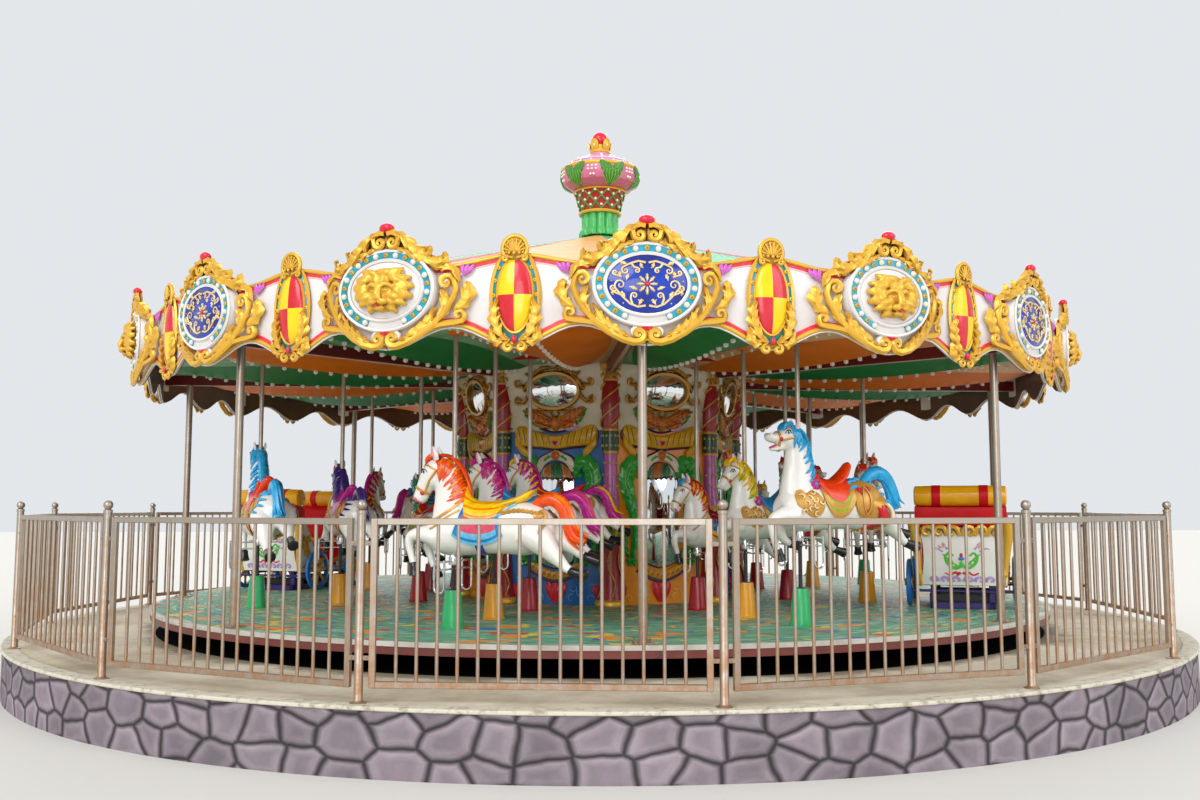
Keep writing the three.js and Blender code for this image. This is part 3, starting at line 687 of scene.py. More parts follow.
def carved(material, strokes, cut=1.0):
    """Carving from rows in millimetres. A leaf is its depth, height, lobes and (x, z, half width)s. A
    scroll is its depth, its two ends' widths, and (x, z)s that may run into a curl's six numbers."""
    shapes = []
    for y, high, other, *points in strokes:
        if len(points[0]) == 3:
            shapes.append(frond(np.array(points) / 1000, y / 1000, high / 1000, material, other, cut))
            continue
        path = []
        for point in points:
            if len(point) == 2:
                path.append((point[0] / 1000, point[1] / 1000))
            else:
                path += curl(*(v / 1000 for v in point[:4]), *point[4:], 12)
        shapes.append(scroll(path, y / 1000, high / 1000, other / 1000, 0.85, material, round(3 + len(path))))
    return shapes


def paired(shapes):
    """Shapes drawn on one side, with the same shapes seen in a mirror that stands at x = 0."""
    return shapes + [(vertices * (-1, 1, 1), faces, material) for vertices, faces, material in shapes]


panel_blue = moulded_gloss("blue_panel_gloss", "#1a62a6", "#124a84", 0.3, 4.0, 0.5)
panel_orange = moulded_gloss("orange_panel_gloss", "#e48a12", "#c46c0c", 0.3, 4.0, 0.5)
swirl_blue = moulded_gloss("pale_blue_brushwork", "#4c94cc", "#3478b4", 0.35)
swirl_orange = moulded_gloss("pale_orange_brushwork", "#f0ac3c", "#d88c24", 0.35)
leaf_green = moulded_gloss("leaf_green_gloss", "#35a53c", "#156426", 0.28, 14.0, 0.7)
tulip_red = moulded_gloss("tulip_red_gloss", "#cc1a22", "#940e18", 0.28)
plum = moulded_gloss("plum_shadow_paint", "#45203f", "#2c1428", 0.4)
ochre = moulded_gloss("ochre_gloss", "#dca41a", "#a87c12", 0.3, 18.0, 0.75)
vein_light = moulded_gloss("pale_vein_paint", "#7cc45c", "#4a9440", 0.3)
# painted highlight: the lit edge beside each of the banner's folds
fold_highlight_yellow = moulded_gloss("lit_fold_yellow_gloss", "#e2b93c", "#c08c1c", 0.3)
petal_pink = moulded_gloss("pink_blossom_gloss", "#dca0b4", "#b86a8c", 0.3)
# painted shadow: the dark line of each of the banner's folds
fold_shadow_olive = moulded_gloss("painted_fold_shadow_olive", "#5a6a16", "#3c4a10", 0.35)
cream = moulded_gloss("cream_frieze_gloss", "#dcd0b4", "#a8987a", 0.35, 3.5, 0.6)
rose_orange = moulded_gloss("rose_orange_gloss", "#cf6a1c", "#8a3a10", 0.3)
bird_brown = moulded_gloss("burnt_orange_gloss", "#c8701c", "#844412", 0.3, 20.0, 0.7)
shaft_magenta = moulded_gloss("magenta_shaft_gloss", "#b8529a", "#8a3070", 0.28, 10.0, 0.6)
shaft_red = moulded_gloss("dark_red_shaft_gloss", "#a4141c", "#6a0c12", 0.28, 12.0, 0.6)
ring_green = moulded_gloss("dark_green_ring_gloss", "#123c26", "#0a2416", 0.3)
stud_yellow = moulded_gloss("yellow_stud_gloss", "#c3b02a", "#8c7c1a", 0.3)


# Gold: bronze powder in varnish, brushed over carving, patchy where it has worn, with painted shade browning its
# hollows.
def gold_finish(name, bright, dark, metallic=0.35, roughness=0.33):
    """Bronze-powder paint that is bright on open carving and brown in hollows, where the brown is painted shade."""
    gold, shader, place = painted(name, bright, roughness, metallic)
    # painted shade: hollows darken by how closed in they are, mixed with patchy wear from a noise
    hollow_shade = add_node(gold, "AmbientOcclusion", {"Distance": 0.035}, samples=4).outputs["AO"]
    cloud = add_node(gold, "TexNoise", {"Vector": place, "Scale": 24.0, "Detail": 5.0})
    both = add_node(gold, "Math", {0: cloud, 1: 0.35, 2: hollow_shade}, operation="MULTIPLY_ADD")
    share = add_node(gold, "MapRange", {"Value": both, "From Min": 0.5, "From Max": 1.05})
    tone = add_node(gold, "Mix", {0: share, 6: linear(dark), 7: linear(bright)}, data_type="RGBA")
    feed(shader, {"Base Color": tone.outputs[2]})
    brush = add_node(gold, "TexNoise", {"Vector": place, "Scale": 90.0, "Detail": 3.0})
    bump = add_node(gold, "Bump", {"Height": brush, "Distance": 0.002, "Strength": 0.4})
    feed(shader, {"Normal": bump})
    return gold


old_gold = gold_finish("aged_bronze_powder_paint", "#c08a34", "#5a3612")
bright_gold = gold_finish("bright_gold_lacquer", "#e6b23c", "#8a560c")
pale_gold = gold_finish("pale_gold_lacquer", "#ecd29a", "#b98c40", 0.2)

mirror_glass, shader, place = painted("silvered_mirror_glass", "#e9eef0", 0.03, 1.0)
haze = add_node(mirror_glass, "TexNoise", {"Vector": place, "Scale": 5.0, "Detail": 5.0})
wipe = add_node(mirror_glass, "MapRange", {"Value": haze, "From Min": 0.4, "From Max": 0.8, "To Min": 0.02,
    "To Max": 0.14})
feed(shader, {"Roughness": wipe})

face_half = DRUM_APOTHEM * math.tan(math.pi / 8)
lean = math.atan2(FRIEZE_FLARE, BEAM_TOP - FRIEZE_FOOT)


def drum_panel(field, swirl):
    """The ornament of one panel, drawn about its foot's middle with its face at depth 0."""
    arch = [(0.185, 1.1), (0.175, 1.45), (0.19, 1.8), (0.165, 1.9), (0.105, 1.985), (0.0, 2.024)]
    arch += [(-x, z) for x, z in arch[-2::-1]] + [(-0.15, 1.05), (0, 1.0), (0.15, 1.05)]
    arch = smooth([*arch, arch[0]], 39)[:-1]
    shapes = [slab(arch * (1.07, 1.02) + (0, -0.03), -0.012, 0.0, plum, 0.004),
        slab(arch, -0.02, -0.01, mirror_glass, 0.003)]
    # a tall green leaf beside the mirror: a rolled head with long veins, a narrow waist and a curled foot
    half = carved(leaf_green, ((-10, 48, 13, (335, 1035, 20), (315, 1120, 34), (295, 1350, 42), (325, 1600, 70),
        (372, 1790, 92), (355, 1940, 92), (275, 2010, 76), (225, 1935, 50), (262, 1870, 10)),), 0.35)
    half += carved(leaf_green, (
        (-16, 42, 5, (300, 1900, 10), (350, 1850, 46), (385, 1740, 50), (360, 1600, 32), (345, 1500, 4)),
        (-8, 34, 4, (345, 1360, 6), (395, 1300, 36), (400, 1200, 38), (360, 1100, 4)),
        (-18, 30, 3, (250, 1190, 6), (215, 1120, 26), (220, 1040, 28), (260, 1000, 4)),
        (-24, 20, 11, (385, 1090), (335, 1055, 50, 10, 3.6, -1.2)),
        (-32, 10, 2, (35, 2085, 8), (75, 2075, 22), (125, 2035, 3))))
    half += carved(vein_light, (
        (-56, 4.5, 2.5, (350, 1660), (415, 1800), (405, 1950), (320, 2045)),
        (-56, 4.5, 2.5, (335, 1700), (385, 1820), (370, 1930), (300, 1995), (245, 1950)),
        (-56, 4.5, 2.5, (290, 1200), (275, 1360), (300, 1580))))
    half += carved(tulip_red, [(-8, 12, 1, (450, 675, 14), (450 + lean * 0.5, 760, 38), (450 + lean, 850, 4))
        for lean in (-55, 0, 55)], 0.2)
    half += [scroll(curl(x, z, 0.05, 0.012, a, 0.7, 7), -0.005, 0.01, 0.003, 0.5, swirl, 8, 4)
        for x, z, a in ((0.16, 0.71, 1.2), (0.26, 0.76, 2.4), (0.35, 0.71, 0.3), (0.19, 0.82, 3.5), (0.36, 0.83, 5.0))]
    # the banner's folds: slanting shadow lines, each with a lit edge beside it
    for material, shift in ((fold_shadow_olive, 0), (fold_highlight_yellow, 14)):
        half += carved(material, [(-40, 5, 4, (x + shift, 2262 + 0.27 * x), (x + shift - 22, 2215 + 0.18 * x),
            (x + shift - 30, 2172 + 0.12 * x)) for x in (85, 150, 215, 280, 345, 395)])
    tie = [(0.34, 2.19), (0.425, 2.31), (0.425, 2.19), (0.355, 2.105), (0.29, 2.075), (0.285, 2.14)]
    half.append(slab(tie, -0.044, -0.01, ochre, 0.01))
    shapes += paired(half)
    shapes += carved(tulip_red, [(-10, 16, 1, (lean * 0.3, 668, 20), (lean, 775, 48), (1.4 * lean, 872, 4))
        for lean in (-55, 55, 0)], 0.2)
    shapes.append(block(2 * face_half - 0.06, 0.012, 0.016, 0, -0.004, 0.885, field))
    # the swag under the mirror: an ochre ribbon with red brushwork over a plum shadow
    swag = [(-0.25, 1.035), (-0.13, 0.965), (0, 0.93), (0.13, 0.965), (0.25, 1.035)]
    shapes += [scroll([(x * 1.05, z - 0.045) for x, z in swag], -0.01, 0.034, 0.034, 0.5, plum, 14),
        scroll(swag, -0.022, 0.042, 0.042, 0.55, ochre, 14, 8)]
    for step in range(9):
        x = -0.22 + 0.055 * step
        z = 0.932 + 1.65 * x * x
        shapes.append(scroll([(x - 0.014, z - 0.022), (x - 0.004, z + 0.012), (x + 0.006, z - 0.012),
            (x + 0.016, z + 0.024)], -0.044, 0.006, 0.004, 0.8, tulip_red, 7, 4))
    cartouche = smooth([(0, 2.145), (0.09, 2.105), (0.17, 2.06), (0.2, 1.965), (0.165, 1.93), (0.1, 2.015), (0, 2.05),
        (-0.1, 2.015), (-0.165, 1.93), (-0.2, 1.965), (-0.17, 2.06), (-0.09, 2.105), (0, 2.145)], 37)[:-1]
    shapes += [slab(cartouche * (1.05, 1.0) + (0, 0.012), -0.022, 0.0, plum, 0.004),
               slab(cartouche, -0.034, -0.01, cream, 0.006),
               ball((0, -0.036, 2.09), (0.046, 0.02, 0.046), rose_orange, 12, 6),
               scroll(curl(0, 2.09, 0.036, 0.006, 0.5, 1.8, 18), -0.056, 0.007, 0.004, 0.8, bird_brown, 20, 5)]
    drape = [(0, 2.155), (0.16, 2.175), (0.285, 2.185), (0.36, 2.2), (0.43, 2.29), (0.38, 2.385),
        (0.19, 2.325), (0, 2.285)]
    drape = smooth(drape + [(-x, z) for x, z in drape[-2::-1]], 49)[:-1]
    shapes += [slab(drape * (1.03, 1.0) + (0, -0.022), -0.016, 0.01, plum, 0.004),
        slab(drape, -0.04, 0.0, ochre, 0.012)]
    shapes += carved(petal_pink, [(-42, 14, 1, (0, 2190, 4), (0.6 * lean, 2208, 15),
        (lean, 2236 - 0.3 * abs(lean), 3)) for lean in (-45, 45)], 0.2)
    return shapes + carved(tulip_red, [(-44, 14, 1, (0, 2188, 4), (0.6 * lean, 2206, 12), (lean, 2232, 3))
        for lean in (-22, 22, 0)], 0.2)


def frieze_panel():
    """The cream frieze's ornament, drawn upright about its foot and then leant out."""
    z0 = 0.4  # height of the oval mirror's middle above the frieze's foot
    shapes = [slab(oval(0.275, 0.185, z0, 36), -0.016, 0.0, plum, 0.004),
        slab(oval(0.25, 0.162, z0, 36), -0.03, -0.01, mirror_glass, 0.003),
        hoop(0.264, 0.176, z0, -0.026, 0.022, old_gold, 32)]
    half = carved(old_gold, (
        (-18, 32, 5, (0, 615, 22), (70, 625, 30), (150, 597, 32), (222, 555, 30), (290, 580, 4)),
        (-14, 30, 4, (180, 560, 20), (250, 500, 32), (300, 430, 30), (330, 475, 4)),
        (-12, 28, 3, (265, 400, 14), (290, 330, 28), (340, 300, 28), (400, 355, 4)),
        (-18, 17, 10, (290, 430), (330, 450), (375, 485, 42, 10, -1.9, 1.1)),
        (-18, 15, 9, (290, 320), (350, 275), (385, 315, 38, 8, -1.5, 1.1)),
        (-22, 16, 10, (20, 200), (100, 195), (165, 210, 30, 8, 3.6, 1.1)),
        (-20, 24, 2, (30, 210, 14), (35, 175, 18), (0, 135, 3))))
    # a bird with spread wings, feathers overlapping towards green tips
    half += carved(bird_brown, (
        (-14, 38, 7, (5, 70, 34), (90, 100, 58), (180, 145, 58), (262, 190, 40), (300, 235, 4)),
        (-22, 30, 4, (40, 40, 18), (115, 52, 32), (190, 80, 28), (235, 80, 3)),
        (-30, 26, 4, (20, 110, 16), (90, 145, 26), (170, 185, 22), (215, 225, 3))))
    half += carved(leaf_green, [(-26, 20, 2, (x, z, 7), (x + 26, z + 6, 17), (x + 58, z + 34, 2))
        for x, z in ((130, 35), (180, 58), (228, 95), (258, 140), (276, 185))])
    shapes += paired(half)
    shapes.append(ball((0, -0.024, 0.075), (0.046, 0.038, 0.075), bird_brown, 12, 7))
    shapes += carved(bird_brown, ((-42, 20, 15, (0, 120), (50, 115), (90, 84), (132, 98)),))
    shapes.append(ball((0.145, -0.046, 0.1), (0.024, 0.018, 0.017), tulip_red, 10, 6))
    shapes += [ball((x, -0.036, z), (0.028, 0.012, 0.016), petal_pink, 8, 5)
        for x, z in ((0.13, 0.022), (0.175, 0.03), (0.215, 0.046), (0.195, 0.066))]
    shapes += carved(plum, ((-14, 14, 8, (-170, 35), (-80, 0), (0, -12), (90, 4), (160, 30)),))
    cos, sin = math.cos(lean), math.sin(lean)
    return [(np.stack([p[:, 0], p[:, 1] * cos - p[:, 2] * sin, p[:, 1] * sin + p[:, 2] * cos], 1), f, m)
        for p, f, m in shapes]


def drum_octagon(profile, material):
    """An eight-sided solid from (apothem, height) points, with its corners under the columns."""
    corner = math.cos(math.pi / 8)
    return turned([(a / corner, z) for a, z in profile], material, 8)


# One turned corner column: gold foot, red bell with gold scrolls, ochre leaves, magenta shaft with
# yellow studs, green ring between gold beads, dark red shaft and a moulded capital.
drum_column = [turned(profile, material, 24) for material, *profile in (
    (bright_gold, (0.15, DRUM_FOOT), (0.155, 0.69), (0.14, 0.715)),
    (shaft_red, (0.14, 0.712), (0.125, 0.8), (0.104, 0.95), (0.09, 1.12), (0.088, 1.26)),
    (ochre, (0.086, 1.255), (0.092, 1.3), (0.08, 1.45), (0.078, 1.6)),
    (shaft_magenta, (0.09, 1.6), (0.082, 1.68), (0.068, 1.76), (0.064, 2.1)),
    (old_gold, (0.074, 2.1), (0.078, 2.115), (0.074, 2.13)),
    (ring_green, (0.08, 2.13), (0.084, 2.22), (0.08, 2.315)),
    (old_gold, (0.076, 2.315), (0.08, 2.33), (0.074, 2.345)),
    (shaft_red, (0.072, 2.345), (0.088, 2.5), (0.086, 2.68), (0.076, 2.805)),
    (old_gold, (0.082, 2.8), (0.088, 2.812), (0.082, 2.826), (0.092, 2.88), (0.116, 2.935), (0.122, 2.965),
        (0.124, 2.989)))]
capital_leaf = carved(old_gold, ((0, 26, 3, (0, 2815, 18), (0, 2870, 30), (0, 2925, 26), (0, 2962, 6)),))
for lane in range(5):
    drum_column += spread(capital_leaf, (lane - 2) * 0.62, 0.085)
for lane in range(7):
    turn = math.radians(-90 + 30 * lane)
    sin, cos = math.sin(turn), -math.cos(turn)
    for z, r in ((1.68, 0.084), (1.79, 0.068), (1.9, 0.067), (2.01, 0.066), (2.175, 0.082), (2.27, 0.082)):
        if z > 2.1 or (lane + round(z * 9)) % 2:
            drum_column.append(ball((r * sin, r * cos, z), (0.013, 0.013, 0.013), stud_yellow, 7, 4))
    wave = smooth([((0.14 - 0.052 * s) * math.sin(turn + 0.3 * math.sin(7 * s)),
        -(0.14 - 0.052 * s) * math.cos(turn + 0.3 * math.sin(7 * s)), 0.74 + 0.48 * s) for s in np.linspace(0, 1, 8)],
        14)
    if lane % 2:
        drum_column.append(tube(wave, 0.01, old_gold, 6, (0, 0, 1)))
    tip = [(0.088 * sin, 0.088 * cos, 1.28), (0.095 * sin, 0.095 * cos, 1.38), (0.088 * sin, 0.088 * cos, 1.5)]
    drum_column.append(tube(smooth(tip, 6), [0.01, 0.022, 0.026, 0.022, 0.014, 0.003],
        leaf_green if lane % 2 else ochre, 6, (0, 0, 1)))
for strand in range(3):
    vine = [(0.088 * math.sin(t + strand * 2.1), -0.088 * math.cos(t + strand * 2.1), 2.36 + 0.075 * t)
        for t in np.linspace(0, 5.6, 20)]
    drum_column.append(tube(vine, (0.013, 0.01), old_gold if strand else ochre, 5, (0, 0, 1)))

drum = [drum_octagon([(DRUM_APOTHEM - 0.002, DRUM_FOOT), (DRUM_APOTHEM - 0.002, FRIEZE_FOOT)], panel_blue),
        drum_octagon([(DRUM_APOTHEM, FRIEZE_FOOT), (DRUM_APOTHEM + FRIEZE_FLARE, BEAM_TOP)], cream)]
frieze = frieze_panel()
for face in range(8):
    angle = (face + 0.5) * BAY_ANGLE
    field, swirl = (panel_orange, swirl_orange) if face % 2 == 0 else (panel_blue, swirl_blue)
    drum.append(placed(block(2 * face_half - 0.02, 0.008, FRIEZE_FOOT - DRUM_FOOT, 0, 0, DRUM_FOOT, field),
        angle, DRUM_APOTHEM))
    drum += spread(drum_panel(field, swirl), angle, DRUM_APOTHEM + 0.004)
    drum += spread(frieze, angle, DRUM_APOTHEM + 0.004, FRIEZE_FOOT)
    drum += spread(drum_column, face * BAY_ANGLE, DRUM_COLUMN_CIRCLE)
piece("drum_panels_and_columns", drum, "turntable", ["centre_drum"], 60)

# The ceiling: sixteen thin mouldings, green and orange in turn, folded down along their middles,
# with a row of lamp domes on each fold and a collar where each horse's pole passes through.
CEILING_INNER = 1.4
CEILING_OUTER = 4.54
CEILING_EDGE = 2.984
CEILING_TOP = 3.0143
FOLD_DEPTH = 0.155
GORES = 16
GORE_ANGLE = math.radians(22.5)
LAMP_PITCH = 0.15
LAMP_ROW = (1.65, 4.35)  # the radii between which the lamps stand
ceiling_green = moulded_gloss("green_ceiling_gloss", "#1a7c3a", "#0f4a26", 0.5, 2.0, 0.5, 0.0, 0.12)
ceiling_orange = moulded_gloss("orange_ceiling_gloss", "#e07208", "#b0500a", 0.5, 2.0, 0.5, 0.0, 0.12)
# painted highlight: pale copies of the two gore colours, for the lit flanks of the folds
ceiling_green_highlight = moulded_gloss("painted_highlight_green_ceiling_gloss", "#8cb48e", "#4c8a5c", 0.5, 3.0, 0.8, 0.0, 0.12)
ceiling_orange_highlight = moulded_gloss("painted_highlight_orange_ceiling_gloss", "#e0b88a", "#c88850", 0.5, 3.0, 0.8, 0.0, 0.12)
ceiling_red = moulded_gloss("dark_red_ceiling_gloss", "#a01018", "#6c0a10", 0.4)
lamp_dome, shader, place = painted("opal_polycarbonate_lamp", "#e4dfd2", 0.25, Coat_Weight=0.4)
facet = add_node(lamp_dome, "TexVoronoi", {"Vector": place, "Scale": 120.0})
bump = add_node(lamp_dome, "Bump", {"Height": facet.outputs["Distance"], "Distance": 0.002, "Strength": 0.5})
feed(shader, {"Normal": bump})


def fold(radius, share):
    """Height of a gore's underside, at a radius and a share from one edge (0) to the other (1)."""
    along = np.clip((radius - CEILING_INNER) / (CEILING_OUTER - CEILING_INNER), 0, 1)
    peak = 1 - np.abs(2 * share - 1)
    bow = np.abs(np.sin(math.pi * along)) ** 0.6
    return CEILING_EDGE - FOLD_DEPTH * bow * (peak - 0.18 * np.sin(math.pi * peak) * peak)


def shell(front, back, material):
    """A thin closed body between two grids of points, each rows by columns."""
    rows, wide = front.shape[:2]
    size = rows * wide
    faces = grid_faces(rows, wide, closed=False)
    faces += [(size + a, size + d, size + c, size + b) for a, b, c, d in faces]
    rim = grid_rim(rows, wide)
    faces += [(a, b, size + b, size + a) for a, b in zip(rim, rim[1:] + rim[:1])]
    return np.concatenate([front.reshape(-1, 3), back.reshape(-1, 3)]), faces, material


def gore(number, radius, share, low, high, material):
    """A moulding over one sixteenth of the circle, between two heights at a radius and share."""
    turn = (number + share) * GORE_ANGLE
    front, back = (np.stack([radius * np.sin(turn), -radius * np.cos(turn), height(radius, share)], 2)
        for height in (low, high))
    return shell(front, back, material)


# Each gore's deep colour is sprayed as a long leaf down its fold, and fades to a pale border that is a painted
# highlight, where the fold's flanks would catch the light.
gore_radii, across = np.meshgrid(np.linspace(CEILING_INNER, CEILING_OUTER, 17),
    np.array([-0.497, -1, -0.7, -0.35, 0, 0.35, 0.7, 1, 0.497]), indexing="ij")
leaf = 0.05 + 0.36 * np.sin(math.pi * (gore_radii - CEILING_INNER) / (CEILING_OUTER - CEILING_INNER)) ** 0.7
gore_shares = 0.5 + np.where(np.abs(across) == 0.497, across, across * leaf)
ceiling = []
for number in range(GORES):
    deep, pale = ((ceiling_green, ceiling_green_highlight), (ceiling_orange, ceiling_orange_highlight))[number % 2]
    bent_gore = gore(number, gore_radii, gore_shares, fold, lambda radius, share: 0 * radius + CEILING_TOP - 0.001,
        deep)
    # the border strips take the painted highlight, the middle the deep colour
    paints = [pale if side in (0, 7) else deep for side in np.tile(np.arange(8), 16)]
    paints += [deep] * (len(bent_gore[1]) - len(paints))
    ceiling.append((*bent_gore[:2], paints))
    for radius in np.arange(*LAMP_ROW, LAMP_PITCH):
        for share, wide, sides, sunk in ((0.5, 0.024, 6, 0.01), (0.06, 0.018, 5, 0.006)):
            lamp = ball((0, 0, 0), (wide, wide, 0.022), lamp_dome, sides, 3)
            ceiling.append(placed(lamp, (number + share) * GORE_ANGLE, radius, fold(radius, share) - sunk))
for row, bay, angle, radius in horse_places():
    ceiling.append(placed(ring_of([(0.027, 2.955), (0.058, 2.955), (0.064, 2.985), (0.027, 2.985)], ceiling_orange, 16),
        angle, radius))
for bay in range(1, 9):
    guard = slab([(-0.13, 2.94), (0.13, 2.94), (0.2, 2.99), (-0.2, 2.99)], -0.1, -0.09, ceiling_red)
    ceiling.append(placed(guard, (bay - 1.5) * BAY_ANGLE, ROW_RADII["inner"] + 0.02))
piece("ceiling_gores", ceiling, "turntable", ["ceiling"], 25)

# The roof: sixteen curved mouldings, green and orange-cream in turn, with pink ribs bolted over
# their joints. A brown painted upstand holds its rim up over the ceiling.
ROOF_EAVE = 3.29
ROOF_PEAK = 4.56
ROOF_RIM = 4.54
ROOF_INNER = 0.15
roof_green = moulded_gloss("green_roof_gloss", "#3cae70", "#2a7a50", 0.55, 2.5, 0.5, 0.05)
roof_cream = moulded_gloss("orange_cream_roof_gloss", "#e6a860", "#c98a44", 0.55, 2.5, 0.5, 0.05)
rib_pink = moulded_gloss("pink_rib_gloss", "#dc7e94", "#b8667a", 0.5, 5.0, 0.4, 0.05)
back_brown = moulded_gloss("bare_brown_laminate", "#64401f", "#3c2414", 0.6, 3.0, 0.7)


def roof_height(radius, share=0.0):
    """Height of the roof's skin: a straight cone up to the finial."""
    return ROOF_EAVE + (ROOF_PEAK - ROOF_EAVE) * (ROOF_RIM - radius) / (ROOF_RIM - ROOF_INNER) - 0.004


roof = []
radii = np.linspace(ROOF_RIM, ROOF_INNER, 9)
rib = [(0, -radius, roof_height(radius) - 0.008) for radius in radii[:-1]]
for number in range(GORES):
    roof.append(gore(number, *np.meshgrid(radii, np.linspace(0, 1, 4), indexing="ij"), roof_height,
        lambda radius, share: roof_height(radius) - 0.028, (roof_green, roof_cream)[number % 2]))
    roof.append(placed(tube(rib, np.linspace(0.03, 0.01, len(rib)), rib_pink, 8, (1, 0, 0)), number * GORE_ANGLE))
inner, outer, foot, top = ROOF_RIM - 0.03, ROOF_RIM - 0.005, CEILING_TOP + 0.001, ROOF_EAVE - 0.02
upstand = [(inner, foot), (outer, foot), (outer, top), (inner, top)]
piece("roof_gores", [*roof, ring_of(upstand, back_brown, 64)], "turntable", ["roof"], 30)

# The rounding boards: sixteen shaped glass-fibre boards, white with gold rails and a red sprayed
# line, a quartered shield on each, and oval medallions in carved gold frames over their joints.
BOARD_APOTHEM = 4.6
BOARD_THICKNESS = 0.028
MEDALLION_HEIGHT = 3.11
SHIELD_HEIGHT = 3.055
RING_LAMPS = 23
board_half = (BOARD_APOTHEM - BOARD_THICKNESS) * math.tan(GORE_ANGLE / 2) - 0.0003
corner_radius = BOARD_APOTHEM / math.cos(GORE_ANGLE / 2)

board_white = moulded_gloss("white_board_gloss", "#e6e2df", "#d2c8c5", 0.3, 3.0, 0.6)
line_red = moulded_gloss("sprayed_red_line", "#e02434", "#e8606c", 0.35, 30.0, 0.5)
line_pink = moulded_gloss("sprayed_pink_fade", "#eab4b4", "#e4d4d0", 0.35, 30.0, 0.6)
quarter_red = moulded_gloss("shield_red_gloss", "#c8101c", "#d8485c", 0.2, 4.0, 0.7)
quarter_yellow = moulded_gloss("shield_yellow_gloss", "#f4cf04", "#dcae00", 0.2, 4.0, 0.5)
turquoise = moulded_gloss("turquoise_band_gloss", "#1c9cc0", "#1f7c62", 0.25, 14.0, 1.0)
tulip_pink = moulded_gloss("tulip_pink_gloss", "#cc60c0", "#a8489c", 0.3)
gem_red = moulded_gloss("red_gem_gloss", "#dc1c38", "#b01028", 0.15)
stud_orange = moulded_gloss("orange_stud_gloss", "#dc5a1c", "#b04410", 0.25)
field_blue = moulded_gloss("royal_blue_field_gloss", "#1d3fae", "#141458", 0.12, 5.0, 1.0)


def moulded(rough, voxel, target, rounds):
    """Rough closed shapes run together into one smooth skin, as clay is, cut to a number of faces."""
    mesh = joined("rough_figure", rough)
    clay = bpy.data.objects.new("rough_figure", mesh)
    bpy.context.scene.collection.objects.link(clay)
    skin = clay.modifiers.new("skin", "REMESH")
    skin.mode, skin.voxel_size = "VOXEL", voxel
    rub = clay.modifiers.new("rub", "SMOOTH")
    rub.factor, rub.iterations = 0.5, rounds
    shown = clay.evaluated_get(bpy.context.evaluated_depsgraph_get())
    whole = sum(len(p.vertices) - 2 for p in shown.data.polygons)
    cut = clay.modifiers.new("cut", "DECIMATE")
    cut.ratio = min(1.0, target / max(whole, 1))
    done = clay.evaluated_get(bpy.context.evaluated_depsgraph_get()).to_mesh()
    points = np.array([v.co[:] for v in done.vertices])
    loops = [tuple(p.vertices) for p in done.polygons]
    bpy.data.objects.remove(clay)
    bpy.data.meshes.remove(mesh)
    return points, loops


